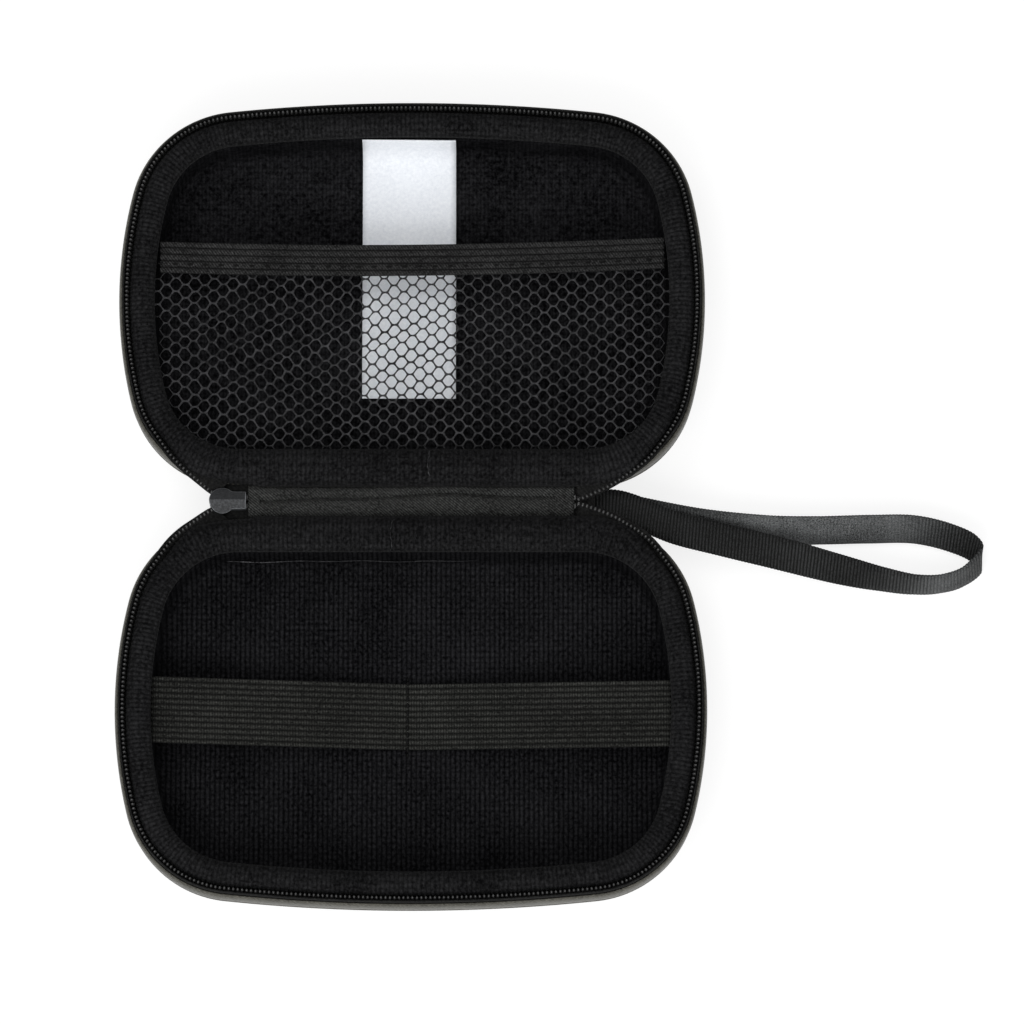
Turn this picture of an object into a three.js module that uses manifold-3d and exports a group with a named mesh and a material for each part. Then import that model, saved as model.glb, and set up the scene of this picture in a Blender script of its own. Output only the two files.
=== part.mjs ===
// Hard-shell zip case for a glucose meter, lying open with its inside up. Units are millimetres, +Z is up.
// The spine runs along X through the origin, the lid is on the +Y side and the base on the -Y side.
import * as THREE from 'three';
import { mergeVertices } from 'three/addons/utils/BufferGeometryUtils.js';
import Module from 'manifold-3d';

// Driving dimensions of one half, seen from above
const CASE_LENGTH = 169;
const CASE_WIDTH = 113;
const CORNER_RADIUS = 32;
const FAR_BOW = 2.6;
const SIDE_BOW = 2.8;

// Driving dimensions of the section
const SEAM_HEIGHT = 17;
const SPINE_WIDTH = 10;
const FIT_GAP = 0.3;
const CLOSED_GAP = 0.5;

// Moulded shell
const SHELL_BACK = 3;
const SHELL_BULGE = 0.2;
const SHELL_LIP_INSET = 0.4;
const BACK_ROUND = 7.5;
const WALL_DRAFT = 1.2;
const GROOVE_HEIGHT = 11.4;
const GROOVE_WIDTH = 0.8;
const GROOVE_DEPTH = 0.6;
const GROOVE_SLOPE = 0.7;
const WALL_TOP_INSET = 8.8;
const WALL_FOOT_INSET = 9.6;
const CAVITY_ROUND = 5;

// Lining, rim and zip
const LINING_THICKNESS = 0.7;
const TAPE_INSET = 0.8;
const TAPE_THICKNESS = 0.5;
const TAPE_FLANGE = 6;
const COIL_THICKNESS = 1.2;
const COIL_HEIGHT = 3.1;
const TAPE_BELOW_COIL_TOP = 0.3;
const RIM_OUTER_INSET = 3.1;
const RIM_WIDTH = 7.1;
const RIM_BELOW_COIL_TOP = 0.35;
const WELT_WIDTH = 1.9;
const WELT_HEIGHT = 2.9;
const CHAIN_TO_ZIP_GAP = 0.8;
const SLIDER_TO_ZIP_GAP = 1.3;

// Elastic strap across the base
const STRAP_WIDTH = 20;
const STRAP_MIDDLE = 56;
const STRAP_THICKNESS = 1.2;
const STRAP_END_HEIGHT = 14;
const STITCH_THREAD = 0.5;
const STITCH_WIDTH = 0.9;

// Net pocket and label in the lid
const NET_THICKNESS = 0.6;
const NET_BELOW_SEAM = 1.4;
const NET_TOP = 64;
const NET_EDGE = 1.1;
const NET_PITCH_U = 12;
const NET_PITCH_V = 8.4;
const NET_STRAND = 1.3;
const POCKET_ELASTIC_WIDTH = 9;
const POCKET_ELASTIC_THICKNESS = 1.2;
const POCKET_ELASTIC_LOW = 61;
const LABEL_WIDTH = 27.3;
const LABEL_MIDDLE = -1;
const LABEL_END = 28;
const LABEL_THICKNESS = 0.4;
const LABEL_GAP = 0.6;
const LABEL_BELOW_SEAM = 0.6;

// Spine, zip chain ends and slider
const SPINE_LENGTH = 94;
const SPINE_SIDE_GAP = 0.3;
const SPINE_TAPE_WIDTH = 8.6;
const SPINE_TAPE_THICKNESS = 0.5;
const SPINE_TAPE_DOME = 0.4;
const SPINE_PANEL_THICKNESS = 1.2;
const SPINE_TAB_LENGTH = 4.6;
const SPINE_TAB_THICKNESS = 0.5;
const CHAIN_WIDTH = 5.2;
const CHAIN_THICKNESS = 1.8;
const CHAIN_ABOVE_SEAM = 0.1;
const CHAIN_IN_SLIDER = 3.4;
const CHAIN_FORK_LENGTH = 5.1;
const SLIDER_LENGTH = 10.6;
const SLIDER_NOSE_WIDTH = 8.2;
const SLIDER_TAIL_WIDTH = 6.8;
const SLIDER_PLATE = 1.2;
const SLIDER_FLANGE = 0.7;
const SLIDER_FLANGE_LENGTH = 6;
const SLIDER_POST_WIDTH = 1.8;
const SLIDER_POST_LENGTH = 2.8;
const SLIDER_JOIN = 0.2;
const BAIL_BAR = 0.8;
const BAIL_LENGTH = 4.8;
const BAIL_DROP = 3.2;
const BAIL_WIDTH = 2.2;

// Pull tab, resting with its tip on the floor
const PULL_LENGTH = 20;
const PULL_WIDTH = 5.4;
const PULL_THICKNESS = 1;
const PULL_BAR = 1.1;
const PULL_WINDOW_LENGTH = 3;
const PULL_WINDOW_WIDTH = 3.2;
const PULL_HOLE_RADIUS = 1.2;
const FLOOR_GAP = 0.4;

// Wrist strap: route chosen by hand from its upper sewn end round the loop to its lower sewn end
const WEBBING_WIDTH = 10;
const WEBBING_ROOT_WIDTH = 8.6;
const WEBBING_ROOT_LENGTH = 12;
const WEBBING_THICKNESS = 1;
const WEBBING_STEPS = 56;
const ANCHOR_LENGTH = 13;
const ANCHOR_OVERHANG = 2.7;
const ANCHOR_WIDTH = 8.6;
const ANCHOR_HEIGHT = 3.1;
const WEBBING_ROUTE = [
  [50, 0, 12.6], [58, -0.3, 12.5], [64, -1.9, 12.2], [70, -4.4, 11.6], [76, -6.6, 10.8], [89, -9.6, 9.2],
  [106, -13.4, 7.5], [123.5, -18, 6.4], [135, -20.9, 5.9], [145, -22.6, 5.6], [153.8, -21.8, 5.5],
  [160, -18.6, 5.5], [162.6, -14.4, 5.5], [160.6, -10.4, 5.4], [154.5, -7.6, 5.2], [145.4, -5.9, 5],
  [132.4, -5.7, 4.9], [118, -6, 5.1], [103.5, -6.2, 5.8], [83.2, -5, 7.8], [66, -2.2, 10], [58, -0.3, 10.7],
  [50, 0, 11],
];
// Lean of the webbing at each point of the route, in degrees: 90 lies flat, 0 stands on its edge
const WEBBING_LEAN = [
  90, 90, 90, 88, 87, 84, 74, 52, 36, 27, 25, 25, 27, 32, 37, 42, 45, 44, 50, 66, 84, 90, 90,
];

// Sizes that follow from the ones above
const HALF_LENGTH = CASE_LENGTH / 2;
const COIL_TOP = SEAM_HEIGHT + SPINE_WIDTH / 2 - CLOSED_GAP / 2;
const TAPE_FOOT = SEAM_HEIGHT + FIT_GAP;
const RIM_FOOT = TAPE_FOOT + TAPE_THICKNESS + FIT_GAP;
const RIM_TOP = COIL_TOP - RIM_BELOW_COIL_TOP;
const LINING_INSIDE = FIT_GAP + LINING_THICKNESS;
const FLOOR_HEIGHT = SHELL_BACK + LINING_INSIDE;
const CHAIN_TOP = SEAM_HEIGHT + CHAIN_ABOVE_SEAM;
const CHAIN_FOOT = CHAIN_TOP - CHAIN_THICKNESS;
const SPINE_END = SPINE_LENGTH / 2;
const ZIP_END_AT_CHAIN = SPINE_END + FIT_GAP + CHAIN_FORK_LENGTH + CHAIN_TO_ZIP_GAP;
const ZIP_END_AT_SLIDER = SPINE_END + 2 * FIT_GAP + SLIDER_LENGTH + SLIDER_TO_ZIP_GAP;

// Materials
const material = (color, roughness, metalness = 0) =>
  new THREE.MeshStandardMaterial({ color, roughness, metalness });
const SATIN_SKIN = material(0x35342c, 0.5);
const VELOUR = material(0x0d0d12, 0.95);
const KNIT = material(0x131316, 0.9);
const TWILL = material(0x17171a, 0.75);
const ZIP_TAPE = material(0x111112, 0.8);
const ZIP_COIL = material(0x1b1b1d, 0.4);
const ELASTIC = material(0x25251f, 0.8);
const NET = material(0x161618, 0.7);
const SATIN_LABEL = material(0xeef0f4, 0.5);
const THREAD = material(0x0b0b0c, 0.8);
const GUNMETAL = material(0x3a3a3c, 0.4, 0.8);
const WEBBING = material(0x2e2e2a, 0.7);

const wasm = await Module();
wasm.setup();

// A closed mesh from points and triangles, turned inside out if its faces point inwards
function closedGeometry(points, triangles) {
  const corners = triangles.map((triangle) => triangle.map((index) => points[index]));
  const volume = corners.reduce((sum, [a, b, c]) => sum + a.dot(b.clone().cross(c)), 0);
  const facing = volume < 0 ? triangles.map(([a, b, c]) => [a, c, b]) : triangles;
  const geometry = new THREE.BufferGeometry().setFromPoints(points);
  geometry.setIndex(facing.flat());
  geometry.computeVertexNormals();
  return geometry;
}

// Joins closed geometries that overlap into one solid
function joined(geometries) {
  const solids = geometries.map((geometry) => {
    const plain = geometry.clone();
    plain.deleteAttribute('normal');
    plain.deleteAttribute('uv');
    const merged = mergeVertices(plain, 1e-4);
    const vertProperties = new Float32Array(merged.attributes.position.array);
    const triVerts = new Uint32Array(merged.index.array);
    return new wasm.Manifold(new wasm.Mesh({ numProp: 3, vertProperties, triVerts }));
  });
  const mesh = solids.reduce((sum, solid) => sum.add(solid)).getMesh();
  const geometry = new THREE.BufferGeometry();
  geometry.setAttribute('position', new THREE.BufferAttribute(new Float32Array(mesh.vertProperties), 3));
  geometry.setIndex(Array.from(mesh.triVerts));
  geometry.computeVertexNormals();
  return geometry;
}

const polygon = (points) => new THREE.Shape(points.map(([x, y]) => new THREE.Vector2(x, y)));

// A flat shape in the plan, raised from one height to another
function raised(shape, low, high) {
  const geometry = new THREE.ExtrudeGeometry(shape, { depth: high - low, bevelEnabled: false, curveSegments: 6 });
  return geometry.translate(0, 0, low);
}

// A section drawn in Y and Z, drawn out along X
function alongX(shape, from, to) {
  const geometry = new THREE.ExtrudeGeometry(shape, { depth: to - from, bevelEnabled: false, curveSegments: 6 });
  const axes = new THREE.Matrix4().makeBasis(
    new THREE.Vector3(0, 1, 0), new THREE.Vector3(0, 0, 1), new THREE.Vector3(1, 0, 0));
  return geometry.applyMatrix4(axes).translate(from, 0, 0);
}

// A section drawn in X and Z, drawn out along Y
function alongY(shape, from, to) {
  const geometry = new THREE.ExtrudeGeometry(shape, { depth: to - from, bevelEnabled: false, curveSegments: 6 });
  return geometry.rotateX(Math.PI / 2).translate(0, to, 0);
}

function box(low, high) {
  const size = high.map((value, axis) => value - low[axis]);
  const middle = high.map((value, axis) => (value + low[axis]) / 2);
  return new THREE.BoxGeometry(...size).translate(...middle);
}

// Plan outline of a half, moved inwards by inset. Its hinge side lies on v = 0 and is straight, the other
// sides are shallow arcs that run into round corners. It starts at the hinge side's +u end and goes round to its
// -u end. startTrim and endTrim leave off that much of u past the round corner's start.
function outline(inset, startTrim = 0, endTrim = 0) {
  const cornerU = HALF_LENGTH - SIDE_BOW - CORNER_RADIUS;
  const nearV = CORNER_RADIUS;
  const farV = CASE_WIDTH - FAR_BOW - CORNER_RADIUS;
  const sideV = (nearV + farV) / 2;
  const halfSide = (farV - nearV) / 2;
  const cornerReach = HALF_LENGTH - cornerU;
  const sideRadius = (halfSide ** 2 + cornerReach ** 2 - CORNER_RADIUS ** 2) / (2 * SIDE_BOW);
  const sideTurn = Math.asin(halfSide / (sideRadius - CORNER_RADIUS));
  const farReach = CASE_WIDTH - farV;
  const farRadius = (cornerU ** 2 + farReach ** 2 - CORNER_RADIUS ** 2) / (2 * FAR_BOW);
  const farTurn = Math.asin(cornerU / (farRadius - CORNER_RADIUS));
  const quarter = Math.PI / 2;
  const points = [];
  const arc = (u, v, radius, from, to, steps, first = 1) => {
    for (let step = first; step <= steps; step += 1) {
      const angle = from + ((to - from) * step) / steps;
      points.push(new THREE.Vector2(u + (radius - inset) * Math.cos(angle), v + (radius - inset) * Math.sin(angle)));
    }
  };
  const sideU = HALF_LENGTH - sideRadius;
  const start = -quarter + Math.asin(startTrim / CORNER_RADIUS);
  const end = 3 * quarter - Math.asin(endTrim / CORNER_RADIUS);
  arc(cornerU, nearV, CORNER_RADIUS, start, -sideTurn, 8, 0);
  arc(sideU, sideV, sideRadius, -sideTurn, sideTurn, 4);
  arc(cornerU, farV, CORNER_RADIUS, sideTurn, quarter - farTurn, 7);
  arc(0, CASE_WIDTH - farRadius, farRadius, quarter - farTurn, quarter + farTurn, 4);
  arc(-cornerU, farV, CORNER_RADIUS, quarter + farTurn, 2 * quarter - sideTurn, 7);
  arc(-sideU, sideV, sideRadius, 2 * quarter - sideTurn, 2 * quarter + sideTurn, 4);
  arc(-cornerU, nearV, CORNER_RADIUS, 2 * quarter + sideTurn, end, 8);
  return points;
}

const zipTrim = (end) => end - (HALF_LENGTH - SIDE_BOW - CORNER_RADIUS);

// Half the outline's length at v, moved inwards by inset
function reach(v, inset) {
  const points = outline(inset);
  for (let index = 1; index < points.length; index += 1) {
    const [a, b] = [points[index - 1], points[index]];
    if (a.y <= v && v <= b.y) {
      return a.x + ((b.x - a.x) * (v - a.y)) / (b.y - a.y);
    }
  }
  return 0;
}

// Walls between neighbouring rings of points, each ring one outline at its own inset and height
function ringWalls(section, trims, loopAlong, loopAcross) {
  const rings = section.map(([inset, height]) =>
    outline(inset, ...trims).map((point) => new THREE.Vector3(point.x, point.y, height)));
  const count = rings[0].length;
  const triangles = [];
  const lastRing = loopAcross ? rings.length : rings.length - 1;
  const lastPoint = loopAlong ? count : count - 1;
  for (let ring = 0; ring < lastRing; ring += 1) {
    const here = ring * count;
    const there = ((ring + 1) % rings.length) * count;
    for (let point = 0; point < lastPoint; point += 1) {
      const next = (point + 1) % count;
      triangles.push([here + point, here + next, there + next], [here + point, there + next, there + point]);
    }
  }
  return { points: rings.flat(), triangles, count };
}

// A tray: rings from the middle of its underside, over its rim, to the middle of its floor
function tray(section) {
  const { points, triangles, count } = ringWalls(section, [], true, false);
  const caps = [[0, section[0][1], 1], [points.length - count, section.at(-1)[1], -1]];
  for (const [first, height, turn] of caps) {
    const middle = points.length;
    points.push(new THREE.Vector3(0, CASE_WIDTH / 2, height));
    for (let point = 0; point < count; point += 1) {
      const edge = [first + point, first + ((point + 1) % count)];
      triangles.push(turn > 0 ? [middle, edge[1], edge[0]] : [middle, edge[0], edge[1]]);
    }
  }
  return closedGeometry(points, triangles);
}

// A closed section taken all the way round the outline
function roll(section) {
  const { points, triangles } = ringWalls(section, [], true, true);
  return closedGeometry(points, triangles);
}

// A closed section, listed counter-clockwise, taken round the three free sides, with flat ends
function band(section, trims) {
  const { points, triangles, count } = ringWalls(section, trims, false, true);
  const flat = section.map(([inset, height]) => new THREE.Vector2(inset, height));
  const last = count - 1;
  for (const [a, b, c] of THREE.ShapeUtils.triangulateShape(flat, [])) {
    triangles.push([a * count, b * count, c * count]);
    triangles.push([a * count + last, c * count + last, b * count + last]);
  }
  return closedGeometry(points, triangles);
}

// Inside of the cavity from the seam down to the floor, moved inwards by depth
function cavity(depth) {
  const middleInset = WALL_FOOT_INSET + CAVITY_ROUND;
  const middleHeight = SHELL_BACK + CAVITY_ROUND;
  const radius = CAVITY_ROUND - depth;
  const steps = 3;
  const round = Array.from({ length: steps + 1 }, (_, step) => {
    const angle = (Math.PI / 2) * (step / steps);
    return [middleInset - radius * Math.cos(angle), middleHeight - radius * Math.sin(angle)];
  });
  return [[WALL_TOP_INSET + depth, SEAM_HEIGHT], ...round];
}

// Outside of the shell from the edge of its flat back up to its lip, with the moulded groove
function shellOutside() {
  const steps = 3;
  const round = Array.from({ length: steps + 1 }, (_, step) => {
    const angle = (Math.PI / 2) * (step / steps);
    return [WALL_DRAFT + BACK_ROUND * (1 - Math.sin(angle)), BACK_ROUND * (1 - Math.cos(angle))];
  });
  const grooveTop = GROOVE_HEIGHT + GROOVE_WIDTH;
  return [
    ...round,
    [-SHELL_BULGE, GROOVE_HEIGHT - GROOVE_SLOPE],
    [GROOVE_DEPTH - SHELL_BULGE, GROOVE_HEIGHT],
    [GROOVE_DEPTH - SHELL_BULGE, grooveTop],
    [-SHELL_BULGE, grooveTop + GROOVE_SLOPE],
    [SHELL_LIP_INSET, SEAM_HEIGHT],
  ];
}

const shell = () => tray([...shellOutside(), ...cavity(0)]);

const lining = () => tray([...cavity(FIT_GAP).reverse(), ...cavity(LINING_INSIDE)]);

function rimBinding() {
  const steps = 6;
  const middle = RIM_OUTER_INSET + RIM_WIDTH / 2;
  const section = Array.from({ length: steps + 1 }, (_, step) => {
    const angle = (Math.PI * step) / steps;
    return [middle + (RIM_WIDTH / 2) * Math.cos(angle), RIM_FOOT + (RIM_TOP - RIM_FOOT) * Math.sin(angle)];
  });
  return roll(section);
}

function zipTape(trims) {
  const flangeTop = TAPE_FOOT + TAPE_THICKNESS;
  const top = COIL_TOP - TAPE_BELOW_COIL_TOP;
  const inside = TAPE_INSET + TAPE_THICKNESS;
  return band([
    [TAPE_INSET, TAPE_FOOT], [TAPE_FLANGE, TAPE_FOOT], [TAPE_FLANGE, flangeTop], [inside, flangeTop],
    [inside, top], [TAPE_INSET, top],
  ], trims);
}

function zipCoil(trims) {
  const near = TAPE_INSET + TAPE_THICKNESS + FIT_GAP;
  const far = near + COIL_THICKNESS;
  return band([[near, COIL_TOP - COIL_HEIGHT], [far, COIL_TOP - COIL_HEIGHT], [far, COIL_TOP], [near, COIL_TOP]], trims);
}

function hingeWelt() {
  const near = FIT_GAP;
  const far = near + WELT_WIDTH;
  const low = SEAM_HEIGHT + FIT_GAP;
  const shoulder = low + WELT_HEIGHT - WELT_WIDTH / 2;
  const section = polygon([
    [near, low], [far, low], [far, shoulder], [(near + far) / 2 + WELT_WIDTH / 4, low + WELT_HEIGHT],
    [(near + far) / 2 - WELT_WIDTH / 4, low + WELT_HEIGHT], [near, shoulder],
  ]);
  return alongX(section, -SPINE_END, SPINE_END);
}

// The elastic's underside follows a shallow V from the middle of the floor to both walls
function elasticStrap() {
  const low = STRAP_MIDDLE - STRAP_WIDTH / 2;
  const high = STRAP_MIDDLE + STRAP_WIDTH / 2;
  const wall = WALL_FOOT_INSET + LINING_INSIDE + FIT_GAP;
  const end = Math.min(reach(low, wall), reach(high, wall));
  const foot = FLOOR_HEIGHT + FIT_GAP;
  const section = polygon([
    [-end, STRAP_END_HEIGHT], [0, foot], [end, STRAP_END_HEIGHT], [end, STRAP_END_HEIGHT + STRAP_THICKNESS],
    [0, foot + STRAP_THICKNESS], [-end, STRAP_END_HEIGHT + STRAP_THICKNESS],
  ]);
  return alongY(section, low, high);
}

// The sewn row crosses the elastic's middle and goes down to the floor past both its edges
function strapStitch() {
  const foot = FLOOR_HEIGHT + FIT_GAP;
  const under = foot + STRAP_THICKNESS + FIT_GAP;
  const top = under + STITCH_THREAD;
  const inner = STRAP_WIDTH / 2 + FIT_GAP;
  const outer = inner + STITCH_THREAD;
  const section = polygon([
    [-outer, foot], [-inner, foot], [-inner, under], [inner, under], [inner, foot], [outer, foot], [outer, top],
    [-outer, top],
  ].map(([v, height]) => [STRAP_MIDDLE + v, height]));
  return alongX(section, -STITCH_WIDTH / 2, STITCH_WIDTH / 2);
}

// Outline of the pocket: the cavity's edge below the pocket's mouth
function pocketOutline(inset, top) {
  const end = reach(top, inset);
  const points = outline(inset).filter((point) => point.y < top);
  const right = points.filter((point) => point.x > 0);
  const left = points.filter((point) => point.x < 0);
  return [...right, new THREE.Vector2(end, top), new THREE.Vector2(-end, top), ...left];
}

// One hole of the net's staggered lattice, kept half a strand away from each neighbour
function netHole(u, v) {
  const slant = Math.hypot(NET_PITCH_U / 2, NET_PITCH_V / 2);
  const halfHeight = (NET_PITCH_V - NET_STRAND) / 2;
  const side = (slant * (slant - NET_STRAND)) / NET_PITCH_U;
  const corner = side - (halfHeight * NET_PITCH_V) / NET_PITCH_U;
  return [
    [side, 0], [corner, halfHeight], [-corner, halfHeight], [-side, 0], [-corner, -halfHeight], [corner, -halfHeight],
  ].map(([x, y]) => new THREE.Vector2(u + x, v + y));
}

function inside(point, points) {
  let crossings = 0;
  points.forEach((a, index) => {
    const b = points[(index + 1) % points.length];
    const spans = (a.y > point.y) !== (b.y > point.y);
    if (spans && point.x < a.x + ((b.x - a.x) * (point.y - a.y)) / (b.y - a.y)) crossings += 1;
  });
  return crossings % 2 === 1;
}

function pocketNet() {
  const edge = WALL_TOP_INSET + LINING_INSIDE + 2 * FIT_GAP;
  const shape = new THREE.Shape(pocketOutline(edge, NET_TOP));
  const clear = pocketOutline(edge + NET_EDGE, NET_TOP - NET_EDGE);
  const columns = Math.ceil(CASE_LENGTH / NET_PITCH_U);
  const rows = Math.ceil(CASE_WIDTH / NET_PITCH_V);
  for (let column = -columns; column <= columns; column += 1) {
    for (let row = 0; row <= rows; row += 1) {
      const stagger = column % 2 === 0 ? 0 : 0.5;
      const hole = netHole((column * NET_PITCH_U) / 2, (row + stagger) * NET_PITCH_V);
      if (hole.every((point) => inside(point, clear))) shape.holes.push(new THREE.Path(hole));
    }
  }
  const top = SEAM_HEIGHT - NET_BELOW_SEAM;
  return raised(shape, top - NET_THICKNESS, top);
}

function pocketElastic() {
  const high = POCKET_ELASTIC_LOW + POCKET_ELASTIC_WIDTH;
  const wall = WALL_TOP_INSET + LINING_INSIDE + 2 * FIT_GAP;
  const end = Math.min(reach(POCKET_ELASTIC_LOW, wall), reach(high, wall));
  const foot = SEAM_HEIGHT - NET_BELOW_SEAM + FIT_GAP;
  return box([-end, POCKET_ELASTIC_LOW, foot], [end, high, foot + POCKET_ELASTIC_THICKNESS]);
}

// The label hangs down the far wall from under the rim and then lies on the floor
function fabricLabel() {
  const side = (depth) => cavity(depth).map(([inset, height]) => [CASE_WIDTH - inset, height]);
  const back = side(LINING_INSIDE + LABEL_GAP);
  const front = side(LINING_INSIDE + LABEL_GAP + LABEL_THICKNESS);
  for (const chain of [back, front]) {
    chain[0][1] -= LABEL_BELOW_SEAM;
    chain.push([LABEL_END, chain.at(-1)[1]]);
  }
  const section = polygon([...back, ...front.reverse()]);
  return alongX(section, LABEL_MIDDLE - LABEL_WIDTH / 2, LABEL_MIDDLE + LABEL_WIDTH / 2);
}

// Spine stack, from its end tabs down to the anchor of the wrist strap, all at or below the seam
const TAB_TOP = SEAM_HEIGHT;
const TAPE_CROWN = TAB_TOP - SPINE_TAB_THICKNESS - FIT_GAP;
const TAPE_UNDERSIDE = TAPE_CROWN - SPINE_TAPE_DOME - SPINE_TAPE_THICKNESS;
const PANEL_TOP = TAPE_UNDERSIDE - FIT_GAP;
const PANEL_UNDERSIDE = PANEL_TOP - SPINE_PANEL_THICKNESS;
const ANCHOR_TOP = PANEL_UNDERSIDE - FIT_GAP;
const SPINE_HALF = SPINE_WIDTH / 2 - SPINE_SIDE_GAP;

const spinePanel = () => box([-SPINE_END, -SPINE_HALF, PANEL_UNDERSIDE], [SPINE_END, SPINE_HALF, PANEL_TOP]);

function crown(half, edge, top) {
  return [[half, edge], [half / 2, edge + 0.75 * (top - edge)], [0, top], [-half / 2, edge + 0.75 * (top - edge)],
    [-half, edge]];
}

function spineTape() {
  const half = SPINE_TAPE_WIDTH / 2;
  const edge = TAPE_UNDERSIDE + SPINE_TAPE_THICKNESS;
  const section = polygon([[-half, TAPE_UNDERSIDE], [half, TAPE_UNDERSIDE], ...crown(half, edge, TAPE_CROWN)]);
  return alongX(section, -SPINE_END, SPINE_END);
}

function spineTab(from, to) {
  const half = SPINE_TAPE_WIDTH / 2;
  const top = crown(half, TAB_TOP - SPINE_TAPE_DOME, TAB_TOP);
  const under = top.map(([y, z]) => [y, z - SPINE_TAB_THICKNESS]).reverse();
  return alongX(polygon([...top, ...under]), from, to);
}

// The closed chain between the slider and the spine's end
function chainEndLeft() {
  const from = -SPINE_END - FIT_GAP - CHAIN_IN_SLIDER;
  return box([from, -CHAIN_WIDTH / 2, CHAIN_FOOT], [-SPINE_END - FIT_GAP, CHAIN_WIDTH / 2, CHAIN_TOP]);
}

// The other closed end, where the two halves of the chain part in a V
function chainEndRight() {
  const root = SPINE_END + FIT_GAP;
  const tip = root + CHAIN_FORK_LENGTH;
  const half = CHAIN_WIDTH / 2;
  const arm = SPINE_WIDTH / 2 - CLOSED_GAP;
  const fork = (root + tip) / 2;
  const shape = polygon([
    [root, -half], [fork, -half], [tip, -arm], [tip, -arm + half / 2], [fork, 0], [tip, arm - half / 2], [tip, arm],
    [fork, half], [root, half],
  ]);
  return raised(shape, CHAIN_FOOT, CHAIN_TOP);
}

// Slider: two plates over and under the chain, their side flanges, the post that parts the chain, and the bail
const SLIDER_TAIL = -SPINE_END - 2 * FIT_GAP;
const SLIDER_NOSE = SLIDER_TAIL - SLIDER_LENGTH;
const SLIDER_MIDDLE = (SLIDER_TAIL + SLIDER_NOSE) / 2;
const CHANNEL_TOP = CHAIN_TOP + FIT_GAP;
const CHANNEL_FOOT = CHAIN_FOOT - FIT_GAP;
const PULL_AXIS_HEIGHT = CHANNEL_FOOT - SLIDER_PLATE - (BAIL_DROP - BAIL_BAR) / 2;

function sliderPlate(low, high) {
  const nose = SLIDER_NOSE_WIDTH / 2;
  const tail = SLIDER_TAIL_WIDTH / 2;
  const shape = new THREE.Shape();
  shape.moveTo(SLIDER_TAIL, -tail);
  shape.lineTo(SLIDER_TAIL, tail);
  shape.lineTo(SLIDER_MIDDLE, nose);
  shape.quadraticCurveTo(SLIDER_NOSE, nose, SLIDER_NOSE, 0);
  shape.quadraticCurveTo(SLIDER_NOSE, -nose, SLIDER_MIDDLE, -nose);
  return raised(shape, low, high);
}

function sliderBody() {
  const topPlate = sliderPlate(CHANNEL_TOP, CHANNEL_TOP + SLIDER_PLATE);
  const footPlate = sliderPlate(CHANNEL_FOOT - SLIDER_PLATE, CHANNEL_FOOT);
  const low = CHANNEL_FOOT - SLIDER_JOIN;
  const high = CHANNEL_TOP + SLIDER_JOIN;
  const outer = SLIDER_TAIL_WIDTH / 2;
  const flanges = [-1, 1].map((side) => {
    const edges = [side * outer, side * (outer - SLIDER_FLANGE)].sort((a, b) => a - b);
    const from = SLIDER_TAIL - SLIDER_FLANGE_LENGTH;
    return box([from, edges[0], low], [SLIDER_TAIL, edges[1], high]);
  });
  const postFrom = SLIDER_NOSE + SLIDER_POST_WIDTH / 2;
  const postMiddle = postFrom + SLIDER_POST_LENGTH / 2;
  const post = raised(polygon([
    [postFrom, 0], [postMiddle, -SLIDER_POST_WIDTH / 2], [postFrom + SLIDER_POST_LENGTH, 0],
    [postMiddle, SLIDER_POST_WIDTH / 2],
  ]), low, high);
  const bailTop = CHANNEL_FOOT - SLIDER_PLATE;
  const half = BAIL_LENGTH / 2;
  const bailShape = polygon([
    [SLIDER_MIDDLE - half, bailTop + SLIDER_JOIN], [SLIDER_MIDDLE - half, bailTop - BAIL_DROP],
    [SLIDER_MIDDLE + half, bailTop - BAIL_DROP], [SLIDER_MIDDLE + half, bailTop + SLIDER_JOIN],
    [SLIDER_MIDDLE + half - BAIL_BAR, bailTop + SLIDER_JOIN],
    [SLIDER_MIDDLE + half - BAIL_BAR, bailTop - BAIL_DROP + BAIL_BAR],
    [SLIDER_MIDDLE - half + BAIL_BAR, bailTop - BAIL_DROP + BAIL_BAR],
    [SLIDER_MIDDLE - half + BAIL_BAR, bailTop + SLIDER_JOIN],
  ]);
  const bail = alongY(bailShape, -BAIL_WIDTH / 2, BAIL_WIDTH / 2);
  return joined([topPlate, footPlate, ...flanges, post, bail]);
}

// The pull lies in its own plane with its cross bar on the axis, and is then tilted until its tip nears the floor
function pullTab() {
  const half = PULL_WIDTH / 2;
  const bar = PULL_BAR / 2;
  const round = PULL_LENGTH - half;
  const shape = new THREE.Shape();
  shape.moveTo(-bar, -half);
  shape.lineTo(round, -half);
  shape.absarc(round, 0, half, -Math.PI / 2, Math.PI / 2, false);
  shape.lineTo(-bar, half);
  const windowEnd = bar + PULL_WINDOW_LENGTH;
  const side = PULL_WINDOW_WIDTH / 2;
  const window = [[bar, -side], [bar, side], [windowEnd, side], [windowEnd, -side]];
  shape.holes.push(new THREE.Path(window.map(([x, y]) => new THREE.Vector2(x, y))));
  const eye = new THREE.Path();
  eye.absarc(round, 0, PULL_HOLE_RADIUS, 0, 2 * Math.PI, true);
  shape.holes.push(eye);
  return raised(shape, -PULL_THICKNESS / 2, PULL_THICKNESS / 2);
}

const PULL_TILT = Math.asin((PULL_AXIS_HEIGHT - FLOOR_GAP - PULL_THICKNESS / 2) / PULL_LENGTH);

function strapAnchor() {
  const end = SPINE_END + ANCHOR_OVERHANG;
  return box([end - ANCHOR_LENGTH, -ANCHOR_WIDTH / 2, ANCHOR_TOP - ANCHOR_HEIGHT], [end, ANCHOR_WIDTH / 2, ANCHOR_TOP]);
}

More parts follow.
